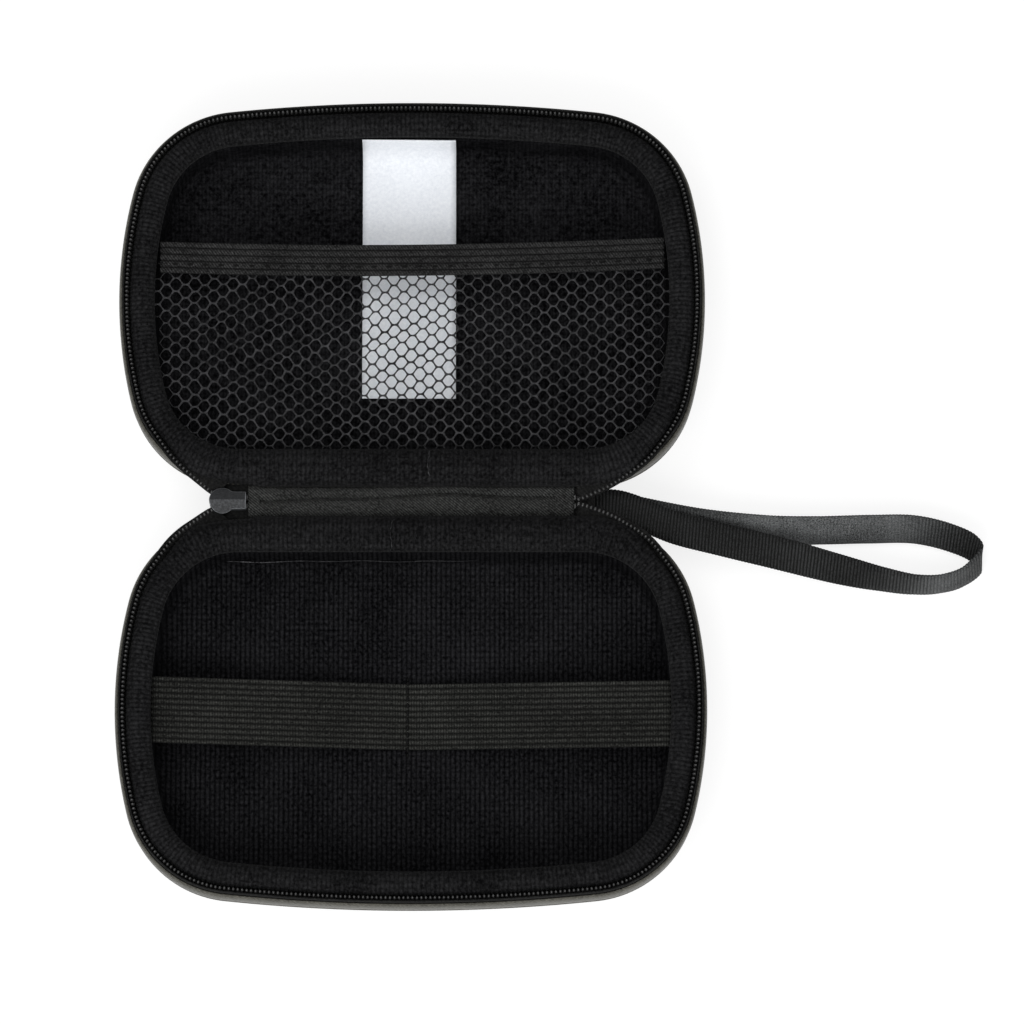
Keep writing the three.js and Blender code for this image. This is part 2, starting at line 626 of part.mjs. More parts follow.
// A flat ribbon along the route, which leans as WEBBING_LEAN says and is drawn in at its sewn ends
function wristStrap() {
  const route = new THREE.CatmullRomCurve3(WEBBING_ROUTE.map((point) => new THREE.Vector3(...point)), false, 'centripetal');
  const length = route.getLength();
  const points = [];
  const triangles = [];
  for (let step = 0; step <= WEBBING_STEPS; step += 1) {
    const share = step / WEBBING_STEPS;
    const place = route.getUtoTmapping(share) * (WEBBING_LEAN.length - 1);
    const index = Math.min(Math.floor(place), WEBBING_LEAN.length - 2);
    const lean = THREE.MathUtils.degToRad(
      THREE.MathUtils.lerp(WEBBING_LEAN[index], WEBBING_LEAN[index + 1], place - index));
    const fromEnd = Math.min(share, 1 - share) * length;
    const drawn = THREE.MathUtils.smoothstep(fromEnd, 0, WEBBING_ROOT_LENGTH);
    const half = THREE.MathUtils.lerp(WEBBING_ROOT_WIDTH, WEBBING_WIDTH, drawn) / 2;
    const middle = route.getPointAt(share);
    const along = route.getTangentAt(share);
    const across = new THREE.Vector3(0, Math.sin(lean), Math.cos(lean));
    across.addScaledVector(along, -across.dot(along)).normalize();
    const face = across.clone().cross(along).multiplyScalar(WEBBING_THICKNESS / 2);
    const edge = across.multiplyScalar(half);
    const corners = [[1, 1], [-1, 1], [-1, -1], [1, -1]];
    corners.forEach(([e, f]) => points.push(middle.clone().addScaledVector(edge, e).addScaledVector(face, f)));
    const here = step * 4;
    if (step === WEBBING_STEPS) continue;
    for (let side = 0; side < 4; side += 1) {
      const next = (side + 1) % 4;
      triangles.push([here + side, here + next, here + 4 + next], [here + side, here + 4 + next, here + 4 + side]);
    }
  }
  const last = WEBBING_STEPS * 4;
  triangles.push([0, 2, 1], [0, 3, 2], [last, last + 1, last + 2], [last, last + 2, last + 3]);
  return closedGeometry(points, triangles);
}

// Assembly
function add(parent, name, geometry, finish) {
  const mesh = new THREE.Mesh(geometry, finish);
  mesh.name = name;
  parent.add(mesh);
  return mesh;
}

// Pieces that both halves have. trims are the free ends of the zip at the half's own +u and -u side.
function addHalf(parent, prefix, trims) {
  add(parent, `${prefix}_shell`, shell(), SATIN_SKIN);
  add(parent, `${prefix}_lining`, lining(), VELOUR);
  add(parent, `${prefix}_rim_binding`, rimBinding(), KNIT);
  add(parent, `${prefix}_hinge_welt`, hingeWelt(), TWILL);
  add(parent, `${prefix}_zip_tape`, zipTape(trims), ZIP_TAPE);
  add(parent, `${prefix}_zip_coil`, zipCoil(trims), ZIP_COIL);
}

const group = new THREE.Group();

const base = new THREE.Group();
base.position.y = -SPINE_WIDTH / 2;
base.rotation.z = Math.PI;
addHalf(base, 'base', [zipTrim(ZIP_END_AT_SLIDER), zipTrim(ZIP_END_AT_CHAIN)]);
add(base, 'elastic_strap', elasticStrap(), ELASTIC);
add(base, 'strap_stitch', strapStitch(), THREAD);

const lid = new THREE.Group();
lid.position.y = SPINE_WIDTH / 2;
addHalf(lid, 'lid', [zipTrim(ZIP_END_AT_CHAIN), zipTrim(ZIP_END_AT_SLIDER)]);
add(lid, 'pocket_net', pocketNet(), NET);
add(lid, 'pocket_elastic', pocketElastic(), ELASTIC);
add(lid, 'fabric_label', fabricLabel(), SATIN_LABEL);

const spine = new THREE.Group();
add(spine, 'spine_panel', spinePanel(), SATIN_SKIN);
add(spine, 'spine_tape', spineTape(), TWILL);
add(spine, 'spine_tab_left', spineTab(-SPINE_END, -SPINE_END + SPINE_TAB_LENGTH), TWILL);
add(spine, 'spine_tab_right', spineTab(SPINE_END - SPINE_TAB_LENGTH, SPINE_END), TWILL);
add(spine, 'chain_end_left', chainEndLeft(), ZIP_COIL);
add(spine, 'chain_end_right', chainEndRight(), ZIP_COIL);
add(spine, 'slider_body', sliderBody(), GUNMETAL);
add(spine, 'strap_anchor', strapAnchor(), WEBBING);

const pull = add(group, 'pull_tab', pullTab(), GUNMETAL);
pull.position.set(SLIDER_MIDDLE, 0, PULL_AXIS_HEIGHT);
pull.rotation.y = PULL_TILT;

add(group, 'wrist_strap', wristStrap(), WEBBING);
group.add(base, lid, spine);

export default group;
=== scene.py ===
# Zip case for a glucose meter, lying open on a white table with its inside up.
# Metres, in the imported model's frame: X along the spine, +Y towards the lid, Z up.
import math

import bmesh
import bpy
import numpy as np
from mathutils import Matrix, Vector


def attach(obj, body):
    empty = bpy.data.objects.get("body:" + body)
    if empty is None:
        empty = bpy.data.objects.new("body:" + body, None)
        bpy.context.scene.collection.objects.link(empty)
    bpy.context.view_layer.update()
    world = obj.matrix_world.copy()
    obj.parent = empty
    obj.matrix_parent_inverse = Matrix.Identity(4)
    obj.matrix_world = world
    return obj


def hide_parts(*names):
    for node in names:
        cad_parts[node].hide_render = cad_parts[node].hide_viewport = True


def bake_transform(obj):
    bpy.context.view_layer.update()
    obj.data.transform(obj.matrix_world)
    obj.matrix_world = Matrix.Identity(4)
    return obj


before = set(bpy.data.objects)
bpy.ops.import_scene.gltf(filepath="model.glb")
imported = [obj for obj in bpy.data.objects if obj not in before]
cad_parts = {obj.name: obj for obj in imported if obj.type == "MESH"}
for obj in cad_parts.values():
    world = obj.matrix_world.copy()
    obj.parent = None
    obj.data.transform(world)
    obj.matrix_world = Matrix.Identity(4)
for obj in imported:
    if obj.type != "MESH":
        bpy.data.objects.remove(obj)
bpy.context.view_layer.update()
scene = bpy.context.scene
scene.view_settings.view_transform = "Standard"


# View
# The photograph looks almost straight down from the base's side, from far enough away that nothing converges.
view_target = Vector((0.0289, -0.0030, 0.016))
view_tilt = math.radians(11.8)
view_distance = 2.12
view_width = 0.2946


def add_object(name, data):
    added = bpy.data.objects.new(name, data)
    scene.collection.objects.link(added)
    return added


camera_data = bpy.data.cameras.new("view")
camera_data.angle = 2 * math.atan(view_width / 2 / view_distance)
camera = add_object("view", camera_data)
camera.location = view_target + view_distance * Vector((0, -math.sin(view_tilt), math.cos(view_tilt)))
camera.rotation_euler = (view_tilt, 0, 0)
scene.camera = camera


# Table and light
# A white table in a white room that is brighter in front of the case than behind it, with a lamp in front
# and one above. The table is white to the eye and keeps a faint shadow.
table_half_size = 3
table_drop = 0.0004
room_slope = -0.75
room_level = 0.65
white = (1, 1, 1, 1)


def feed(node, inputs):
    """Links each input of a node to a socket or to another node's first output, or sets it to a value"""
    for key, value in inputs.items():
        if isinstance(value, bpy.types.Node):
            value = value.outputs[0]
        if isinstance(value, bpy.types.NodeSocket):
            node.id_data.links.new(value, node.inputs[key])
        else:
            node.inputs[key].default_value = value
    return node


def add_node(tree, kind, inputs=None, **settings):
    node = tree.nodes.new(kind)
    for name, value in settings.items():
        setattr(node, name, value)
    return feed(node, inputs or {})


def empty_tree(owner):
    """The nodes of a material or a world, before any are added"""
    owner.use_nodes = True
    owner.node_tree.nodes.clear()
    return owner.node_tree


def seen_directly(tree):
    """1 for what the eye sees, also in a mirror or through glass, and 0 for light on other things"""
    path = add_node(tree, "ShaderNodeLightPath").outputs
    mirrored = {0: path["Is Glossy Ray"], 1: path["Is Transmission Ray"]}
    mirrored = add_node(tree, "ShaderNodeMath", mirrored, operation="MAXIMUM")
    return add_node(tree, "ShaderNodeMath", {0: path["Is Camera Ray"], 1: mirrored}, operation="MAXIMUM")


table_material = bpy.data.materials.new("white table")
tree = empty_tree(table_material)
matt = add_node(tree, "ShaderNodeBsdfDiffuse", {"Color": (0.8, 0.8, 0.8, 1)})
shadow_keeper = add_node(tree, "ShaderNodeBsdfDiffuse", {"Color": (0.3, 0.3, 0.3, 1)})
glow = add_node(tree, "ShaderNodeEmission", {"Strength": 0.8})
bright = add_node(tree, "ShaderNodeAddShader", {0: shadow_keeper, 1: glow})
choice = add_node(tree, "ShaderNodeMixShader", {0: seen_directly(tree), 1: matt, 2: bright})
add_node(tree, "ShaderNodeOutputMaterial", {"Surface": choice})

table_mesh = bpy.data.meshes.new("table")
corner_signs = ((-1, -1), (1, -1), (1, 1), (-1, 1))
table_corners = [(table_half_size * x, table_half_size * y, 0) for x, y in corner_signs]
table_mesh.from_pydata(table_corners, [], [(0, 1, 2, 3)])
table_mesh.materials.append(table_material)
table = add_object("table", table_mesh)
table.location.z = -table_drop

room = bpy.data.worlds.new("white room")
scene.world = room
tree = empty_tree(room)
direction = add_node(tree, "ShaderNodeTexCoord").outputs["Generated"]
behind = add_node(tree, "ShaderNodeSeparateXYZ", {0: direction}).outputs["Y"]
level = add_node(tree, "ShaderNodeMath", {0: behind, 1: room_slope, 2: room_level}, operation="MULTIPLY_ADD")
room_light = add_node(tree, "ShaderNodeBackground", {"Color": white, "Strength": level})
room_seen = add_node(tree, "ShaderNodeBackground", {"Color": white})
choice = add_node(tree, "ShaderNodeMixShader", {0: seen_directly(tree), 1: room_light, 2: room_seen})
add_node(tree, "ShaderNodeOutputWorld", {"Surface": choice})

for name, place, power, size in (
    ("front lamp", (-0.3, -1.0, 1.1), 6.3, 0.8),
    ("top lamp", (-0.5, 0.5, 1.3), 3.7, 0.7),
):
    lamp_data = bpy.data.lights.new(name, "AREA")
    lamp_data.energy = power
    lamp_data.size = size
    lamp = add_object(name, lamp_data)
    lamp.location = place
    lamp.rotation_euler = (-Vector(place)).to_track_quat("-Z", "Y").to_euler()


# Wrist strap
# A loop of flat grosgrain webbing, woven with fine ribs across it and with a paler satin face inside the
# loop. Both ends are sewn under the spine, and the loop leans over and rests on its edge where it turns
# back. On the upper run and round the turn, a painted sheen makes the webbing paler still.
# Each point of the route has X, Y and Z, how far the webbing's width leans from upright in degrees, and how
# pale the loop's inner and outer face are, from the satin face inside and from a painted sheen on the upper
# run and round the turn.
strap_route = np.array([
    (0.0500, 0.0000, 0.0126, 90, 0.30, 0.15),
    (0.0580, -0.0003, 0.0125, 90, 0.30, 0.16),
    (0.0640, -0.0019, 0.0122, 90, 0.30, 0.17),
    (0.0700, -0.0044, 0.0116, 88, 0.30, 0.18),
    (0.0760, -0.0066, 0.0108, 87, 0.30, 0.19),
    (0.0890, -0.0096, 0.0092, 84, 0.30, 0.19),
    (0.1060, -0.0134, 0.0073, 74, 0.30, 0.18),
    (0.1235, -0.0178, 0.0059, 52, 0.30, 0.18),
    (0.1350, -0.0204, 0.0054, 34, 0.30, 0.20),
    (0.1450, -0.0221, 0.0053, 23, 0.30, 0.34),
    (0.1525, -0.0219, 0.0052, 20, 0.28, 0.66),
    (0.1593, -0.0197, 0.0052, 23, 0.24, 0.62),
    (0.1643, -0.0146, 0.0051, 38, 0.20, 0.38),
    (0.1622, -0.0114, 0.0047, 43, 0.20, 0.24),
    (0.1557, -0.0082, 0.0043, 44, 0.30, 0.18),
    (0.1454, -0.0057, 0.0042, 44, 0.62, 0.18),
    (0.1324, -0.0056, 0.0042, 45, 1.00, 0.18),
    (0.1180, -0.0060, 0.0045, 44, 1.20, 0.18),
    (0.1035, -0.0062, 0.0054, 50, 1.10, 0.18),
    (0.0832, -0.0050, 0.0077, 66, 0.55, 0.18),
    (0.0660, -0.0022, 0.0100, 84, 0.30, 0.18),
    (0.0580, -0.0003, 0.0107, 90, 0.30, 0.18),
    (0.0500, 0.0000, 0.0110, 90, 0.30, 0.18),
])
strap_steps = 970
strap_width = 0.0098
strap_root_width = 0.0086
strap_root_length = 0.012
strap_thickness = 0.0009
strap_rib_pitch = 0.00098
strap_rib_depth = 0.00016
# How far the webbing's width is turned square to its length. At 1 it isn't pulled askew where the loop turns.
turn_square = 0.4
# Where the paleness is more than this, it is painted sheen: there it is toned down a little and the ribs
# fade in it
sheen_start = 0.3
sheen_range = 0.5
sheen_dulling = 0.25
sheen_rib_fade = 0.75


def smooth_line(points, count, samples=6000):
    """Evenly spaced points on a smooth line through the given ones, and where each lies in their list"""
    points = np.array(points, float)
    knots = np.concatenate([[0], np.cumsum(np.sqrt(np.linalg.norm(np.diff(points, axis=0), axis=1)))])
    slopes = np.gradient(points, knots, axis=0)
    fine = np.linspace(0, knots[-1], samples)
    index = np.clip(np.searchsorted(knots, fine, side="right") - 1, 0, len(knots) - 2)
    gap = (knots[index + 1] - knots[index])[:, None]
    t = (fine[:, None] - knots[index][:, None]) / gap
    line = (
        (2 * t**3 - 3 * t**2 + 1) * points[index]
        + (t**3 - 2 * t**2 + t) * gap * slopes[index]
        + (3 * t**2 - 2 * t**3) * points[index + 1]
        + (t**3 - t**2) * gap * slopes[index + 1]
    )
    travelled = np.concatenate([[0], np.cumsum(np.linalg.norm(np.diff(line, axis=0), axis=1))])
    wanted = np.linspace(0, travelled[-1], count)
    even = np.stack([np.interp(wanted, travelled, line[:, axis]) for axis in range(3)], axis=1)
    place = np.interp(wanted, travelled, index + t[:, 0])
    return even, place, travelled[-1]


def spread(*columns):
    """Points from their coordinates, each of them an array or one number for all points"""
    return np.stack(np.broadcast_arrays(*columns), axis=-1).astype(float)


def unit(vectors):
    return vectors / np.linalg.norm(vectors, axis=-1, keepdims=True)


def squared(vectors, along, share=1.0):
    """Unit vectors that are turned square to a direction, or part of the way there"""
    return unit(vectors - share * along * np.sum(vectors * along, axis=1, keepdims=True))


def eased(share):
    return share**2 * (3 - 2 * share)


def quads(rows, columns, loop_rows=False, loop_columns=False):
    """Faces between neighbouring points of a grid that is stored row by row"""
    faces = []
    for row in range(rows if loop_rows else rows - 1):
        below = ((row + 1) % rows) * columns
        for column in range(columns if loop_columns else columns - 1):
            beside = (column + 1) % columns
            faces.append((row * columns + column, row * columns + beside, below + beside, below + column))
    return faces


def add_piece(name, points, faces, finish=None, **attributes):
    """A smooth mesh piece with its faces turned outwards, and the named numbers kept on its points"""
    mesh = bpy.data.meshes.new(name)
    mesh.from_pydata([tuple(point) for point in np.asarray(points).reshape(-1, 3)], [], faces)
    for key, values in attributes.items():
        kind, field = ("FLOAT", "value") if np.ndim(values) == 1 else ("FLOAT_VECTOR", "vector")
        layer = mesh.attributes.new(key, kind, "POINT")
        layer.data.foreach_set(field, np.ravel(values).astype(np.float32))
    if faces:
        solid = bmesh.new()
        solid.from_mesh(mesh)
        bmesh.ops.recalc_face_normals(solid, faces=solid.faces)
        solid.to_mesh(mesh)
        solid.free()
        mesh.shade_smooth()
    if finish:
        mesh.materials.append(finish)
    return add_object(name, mesh)


def settle(piece):
    """Turns a piece with modifiers into a plain mesh"""
    shaped = piece.evaluated_get(bpy.context.evaluated_depsgraph_get())
    mesh = bpy.data.meshes.new_from_object(shaped)
    piece.modifiers.clear()
    piece.data = mesh
    mesh.name = piece.name
    return piece


def new_tree(name, inputs, outputs, kind="GeometryNodeTree"):
    tree = bpy.data.node_groups.new(name, kind)
    for in_out, sockets in (("INPUT", inputs), ("OUTPUT", outputs)):
        for label, socket in sockets.items():
            tree.interface.new_socket(label, in_out=in_out, socket_type="NodeSocket" + socket)
    return tree, tree.nodes.new("NodeGroupInput").outputs, tree.nodes.new("NodeGroupOutput")


def use_tree(piece, tree, **values):
    modifier = piece.modifiers.new(tree.name, "NODES")
    modifier.node_group = tree
    for item in tree.interface.items_tree:
        key = item.name.lower().replace(" ", "_")
        if item.in_out == "INPUT" and key in values:
            modifier[item.identifier] = values[key]
    return settle(piece)


def chain_math(tree, value, *steps):
    """Runs a value through one Math node after another"""
    for operation, operand in steps:
        inputs = {0: value} if operand is None else {0: value, 1: operand}
        value = add_node(tree, "ShaderNodeMath", inputs, operation=operation).outputs[0]
    return value


def kept_on_points(tree, name, data_type="FLOAT"):
    node = add_node(tree, "GeometryNodeInputNamedAttribute", {"Name": name}, data_type=data_type)
    return node.outputs["Attribute"]


# Presses grooves into cloth, one at each whole rib of the distance that the cloth's points keep as rib_at
rib_tree, given, made = new_tree(
    "Cloth ribs",
    {
        "Cloth": "Geometry", "Rib pitch": "Float", "Rib depth": "Float", "Sharpness": "Float",
        "Finish": "Material",
    },
    {"Cloth": "Geometry"},
)
groove = chain_math(
    rib_tree, kept_on_points(rib_tree, "rib_at"),
    ("DIVIDE", given["Rib pitch"]), ("FRACT", None), ("MULTIPLY", 2.0), ("SUBTRACT", 1.0), ("ABSOLUTE", None),
    ("POWER", given["Sharpness"]), ("MULTIPLY", given["Rib depth"]),
    ("MULTIPLY", kept_on_points(rib_tree, "rib_fade")), ("MULTIPLY", -1.0),
)
outwards = add_node(rib_tree, "GeometryNodeInputNormal")
pressed = add_node(rib_tree, "ShaderNodeVectorMath", {0: outwards, "Scale": groove}, operation="SCALE")
moved = add_node(rib_tree, "GeometryNodeSetPosition", {"Geometry": given["Cloth"], "Offset": pressed})
finished = add_node(rib_tree, "GeometryNodeSetMaterial", {"Geometry": moved, "Material": given["Finish"]})
feed(made, {"Cloth": finished})

# Fibres that catch the light unevenly, from coarse patches to single hairs
fibre_group, given, made = new_tree(
    "Fibres", {"Place": "Vector", "Size": "Float"}, {"Shade": "Float", "Height": "Float"}, "ShaderNodeTree"
)
per_metre = add_node(fibre_group, "ShaderNodeMath", {0: 1, 1: given["Size"]}, operation="DIVIDE")
hairs = {"Vector": given["Place"], "Scale": per_metre, "Detail": 4, "Roughness": 0.7}
hairs = add_node(fibre_group, "ShaderNodeTexNoise", hairs).outputs["Fac"]
patches = {"Vector": given["Place"], "Scale": 60, "Detail": 2}
patches = add_node(fibre_group, "ShaderNodeTexNoise", patches).outputs["Fac"]
uneven = chain_math(fibre_group, patches, ("SUBTRACT", 0.5), ("MULTIPLY", 0.8))
shade = chain_math(
    fibre_group, hairs, ("SUBTRACT", 0.5), ("MULTIPLY", 3.2), ("ADD", uneven), ("ADD", 0.5), ("MAXIMUM", 0.0)
)
feed(made, {"Shade": shade, "Height": hairs})

# Rows of thread: one rounded row for each pitch of the distance At, dark between the rows
thread_group, given, made = new_tree(
    "Thread rows", {"At": "Float", "Pitch": "Float", "Sharpness": "Float"}, {"Row": "Float"}, "ShaderNodeTree"
)
row = chain_math(
    thread_group, given["At"],
    ("DIVIDE", given["Pitch"]), ("FRACT", None), ("MULTIPLY", 2.0), ("SUBTRACT", 1.0), ("ABSOLUTE", None),
    ("POWER", given["Sharpness"]), ("MULTIPLY", -1.0), ("ADD", 1.0),
)
feed(made, {"Row": row})


def cloth_finish(
    name, dark, light, fibre, rows, roughness, specular, bump, sheen=0.02, metallic=0.0, shown_by=None
):
    """A woven, knitted or napped cloth, or a grained metal with no rows. Each of rows is where its threads lie,
    their pitch, how much they show and how narrow the grooves between them are. Where they lie is a direction
    in the object's frame, or the name of a distance that the piece's points keep. Rows along rib_at fade with
    rib_fade. shown_by names a share that the points keep, by which the light colour shows."""
    material = bpy.data.materials.new(name)
    tree = empty_tree(material)

    def kept(share):
        return add_node(tree, "ShaderNodeAttribute", attribute_name=share).outputs["Fac"]

    where = add_node(tree, "ShaderNodeTexCoord").outputs["Object"]
    fibres = add_node(tree, "ShaderNodeGroup", {"Place": where, "Size": fibre}, node_tree=fibre_group).outputs
    height = chain_math(tree, fibres["Height"], ("MULTIPLY", 0.5))
    shade = fibres["Shade"]
    if shown_by:
        shade = chain_math(tree, shade, ("MULTIPLY", kept(shown_by)))
    for source, pitch, strength, sharpness in rows:
        if isinstance(source, str):
            at = kept(source)
        else:
            at = add_node(tree, "ShaderNodeVectorMath", {0: where, 1: source}, operation="DOT_PRODUCT")
            at = at.outputs["Value"]
        row = {"At": at, "Pitch": pitch, "Sharpness": sharpness}
        row = add_node(tree, "ShaderNodeGroup", row, node_tree=thread_group).outputs["Row"]
        gap = chain_math(tree, row, ("SUBTRACT", 1.0), ("MULTIPLY", strength))
        if source == "rib_at":
            gap = chain_math(tree, gap, ("MULTIPLY", kept("rib_fade")))
        shade = chain_math(tree, shade, ("MULTIPLY", chain_math(tree, gap, ("ADD", 1.0))))
        height = chain_math(tree, height, ("ADD", gap))
    colour = {"Factor": shade, "A": (*dark, 1), "B": (*light, 1)}
    colour = add_node(tree, "ShaderNodeMix", colour, data_type="RGBA").outputs["Result"]
    relief = add_node(tree, "ShaderNodeBump", {"Height": height, "Distance": bump})
    shader = add_node(tree, "ShaderNodeBsdfPrincipled", {
        "Base Color": colour, "Roughness": roughness, "Specular IOR Level": specular, "Sheen Weight": sheen,
        "Sheen Roughness": 0.5, "Metallic": metallic, "Normal": relief,
    })
    add_node(tree, "ShaderNodeOutputMaterial", {"Surface": shader})
    return material


# Its light colour shows by satin_share: the satin face, and painted sheen on the loop's upper run and turn
webbing_finish = cloth_finish(
    "grosgrain webbing", (0.0018, 0.0018, 0.0016), (0.270, 0.280, 0.284), 0.0003,
    [("rib_at", strap_rib_pitch, 1.0, 1.5)], roughness=0.45, specular=0.06, sheen=0.01, bump=0.0001,
    shown_by="satin_share",
)
webbing_section = [(-1, 0), (-0.97, 0.9), (-0.5, 1), (0, 1), (0.5, 1), (0.97, 0.9)]
webbing_section += [(-edge, -side) for edge, side in webbing_section]


def webbing(line, across, face, half_width):
    """Points and faces of a length of webbing along a line"""
    count = len(webbing_section)
    points = np.stack([
        line + across * spread(half_width * edge) + face * strap_thickness / 2 * side
        for edge, side in webbing_section
    ], axis=1)
    faces = quads(len(line), count, loop_columns=True)
    last = (len(line) - 1) * count
    faces += [tuple(range(count)), tuple(last + index for index in reversed(range(count)))]
    return points.reshape(-1, 3), faces


def press_ribs(piece, pitch, depth, finish, sharpness=2.0):
    return use_tree(piece, rib_tree, rib_pitch=pitch, rib_depth=depth, sharpness=sharpness, finish=finish)


strap_line, strap_place, strap_length = smooth_line(strap_route[:, :3], strap_steps)
lean, inner_satin_and_sheen, outer_satin_and_sheen = [
    np.interp(strap_place, np.arange(len(strap_route)), values) for values in strap_route[:, 3:].T
]
along = unit(np.gradient(strap_line, axis=0))
lean = np.radians(lean)
across = squared(spread(0, np.sin(lean), np.cos(lean)), along, turn_square)
travelled = np.linspace(0, strap_length, strap_steps)
from_end = np.clip(np.minimum(travelled, strap_length - travelled) / strap_root_length, 0, 1)
half_width = strap_root_width / 2 + (strap_width - strap_root_width) / 2 * eased(from_end)
inner_side = [side > 0 for edge, side in webbing_section]
satin_share = np.where(inner_side, inner_satin_and_sheen[:, None], outer_satin_and_sheen[:, None]).ravel()
strong_sheen = np.clip((satin_share - sheen_start) / sheen_range, 0, 1)
strap = add_piece(
    "wrist_strap_webbing", *webbing(strap_line, across, unit(np.cross(across, along)), half_width),
    rib_at=np.repeat(travelled, len(webbing_section)), rib_fade=1 - sheen_rib_fade * strong_sheen,
    satin_share=satin_share * (1 - sheen_dulling * strong_sheen),
)
press_ribs(strap, strap_rib_pitch, strap_rib_depth, webbing_finish)
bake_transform(strap)
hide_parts("wrist_strap")


# Shells
# Each half is a tray of moulded foam with a satin skin bonded to it. A groove is pressed round its wall, its
# back edge is round and its back is flat. The skin is rolled up as a low lip round the zip, but not beside
# the spine.
case_half_length = 0.0845
case_width = 0.113
corner_radius = 0.032
far_bow = 0.0026
side_bow = 0.0028
spine_half = 0.005
seam_height = 0.017
shell_steps = 280
back_radius = 0.0075
back_edge_inset = 0.0087
inner_wall = ((0.0088, seam_height), (0.0090, 0.0145))
floor_edge = (0.0146, 0.0080)
floor_radius = 0.0050
floor_inset = 0.0155
# The lip changes over between these distances from the spine's middle
free_lip_u = 0.0725
hinge_lip_u = 0.0660
half_sign = {"base": -1, "lid": 1}


def edge_arcs():
    """Centre, radius and angles of each arc of a half's edge, from the hinge side's +u end round"""
    corner_u = case_half_length - side_bow - corner_radius
    far_v = case_width - far_bow - corner_radius
    side_v = (corner_radius + far_v) / 2
    half_side = (far_v - corner_radius) / 2
    reach = case_half_length - corner_u
    side_radius = (half_side**2 + reach**2 - corner_radius**2) / (2 * side_bow)
    side_turn = math.asin(half_side / (side_radius - corner_radius))
    far_radius = (corner_u**2 + (case_width - far_v) ** 2 - corner_radius**2) / (2 * far_bow)
    far_turn = math.asin(corner_u / (far_radius - corner_radius))
    side_u = case_half_length - side_radius
    quarter = math.pi / 2
    return [
        (corner_u, corner_radius, corner_radius, -quarter, -side_turn),
        (side_u, side_v, side_radius, -side_turn, side_turn),
        (corner_u, far_v, corner_radius, side_turn, quarter - far_turn),
        (0, case_width - far_radius, far_radius, quarter - far_turn, quarter + far_turn),
        (-corner_u, far_v, corner_radius, quarter + far_turn, 2 * quarter - side_turn),
        (-side_u, side_v, side_radius, 2 * quarter - side_turn, 2 * quarter + side_turn),
        (-corner_u, corner_radius, corner_radius, 2 * quarter + side_turn, 3 * quarter),
    ]


def edge_line(count, inset, open_end=None, arc_steps=300):
    """Evenly spaced points of a half's edge, its outward direction there and the distance along it, all at the
    given inset. Without open_end it goes all the way round, and with it it ends at that u on either side."""
    arcs = edge_arcs()
    points, outwards = [], []
    for index, (u, v, radius, first, last) in enumerate(arcs):
        if open_end and index == 0:
            first += math.asin((open_end - u) / radius)
        if open_end and index == len(arcs) - 1:
            last -= math.asin((open_end + u) / radius)
        angle = np.linspace(first, last, arc_steps)
        direction = spread(np.cos(angle), np.sin(angle))
        points.append(np.array([u, v]) + direction * radius)
        outwards.append(direction)
    if not open_end:
        points.append(points[0][:1])
        outwards.append(outwards[0][:1])
    points, outwards = np.concatenate(points), np.concatenate(outwards)
    inside = points - outwards * inset
    travelled = np.concatenate([[0], np.cumsum(np.linalg.norm(np.diff(inside, axis=0), axis=1))])
    wanted = np.linspace(0, travelled[-1], count + (0 if open_end else 1))[:count]
    even = [np.interp(wanted, travelled, values) for values in (*points.T, *outwards.T)]
    return spread(*even[:2]), unit(spread(*even[2:])), wanted


def in_half(half, points):
    """Moves points from a half's own u, v and height to the case's frame"""
    points = np.array(points, float)
    points[..., 1] += spine_half
    points[..., :2] *= half_sign[half]
    return points


def edge_rings(half, line, profile):
    """Rings of points round a half's edge, one for each inset and height of the profile"""
    points, outwards = line[:2]
    rings = [spread(*(points - outwards * inset).T, height) for inset, height in profile]
    return in_half(half, np.stack(rings))


def arc_profile(inset, height, radius, first, last, steps=8):
    angle = np.radians(np.linspace(first, last, steps + 1))
    return list(zip(inset + radius * np.cos(angle), height + radius * np.sin(angle)))


def hinge_share(line, free_u, hinge_u):
    """How far each point of an edge has gone over from the free sides, 0, to the side along the spine, 1"""
    points, outwards = line[:2]
    share = np.clip((free_u - np.abs(points[:, 0])) / (free_u - hinge_u), 0, 1) * (outwards[:, 1] < -0.3)
    return eased(share)


def tray_piece(name, half, line, profile, finish, hinge_profile=None, **ring_values):
    """A closed tray from the middle of its underside, over its rim, to the middle of its floor. Each of
    ring_values is a number for each inset and height of the profile, which the points there keep."""
    rings = edge_rings(half, line, profile)
    if hinge_profile:
        share = hinge_share(line, free_lip_u, hinge_lip_u)[None, :, None]
        rings = rings * (1 - share) + edge_rings(half, line, hinge_profile) * share
    count = rings.shape[1]
    faces = quads(len(rings), count, loop_columns=True)
    middle = in_half(half, [[0, case_width / 2, profile[0][1]], [0, case_width / 2, profile[-1][1]]])
    total = len(rings) * count
    for ring, centre in ((0, total), (total - count, total + 1)):
        faces += [(centre, ring + index, ring + (index + 1) % count) for index in range(count)]
    kept = {
        key: np.append(np.repeat(values, count), [values[0], values[-1]])
        for key, values in ring_values.items()
    }
    return add_piece(name, np.concatenate([rings.reshape(-1, 3), middle]), faces, finish, **kept)


def cavity_profile(depth):
    """Inside of a shell from its lip to its floor, moved inwards by depth"""
    wall = [(inset + depth, height) for inset, height in inner_wall]
    rounded = arc_profile(*floor_edge, floor_radius - depth, 180, 270)
    return wall + rounded + [(floor_inset, rounded[-1][1])]


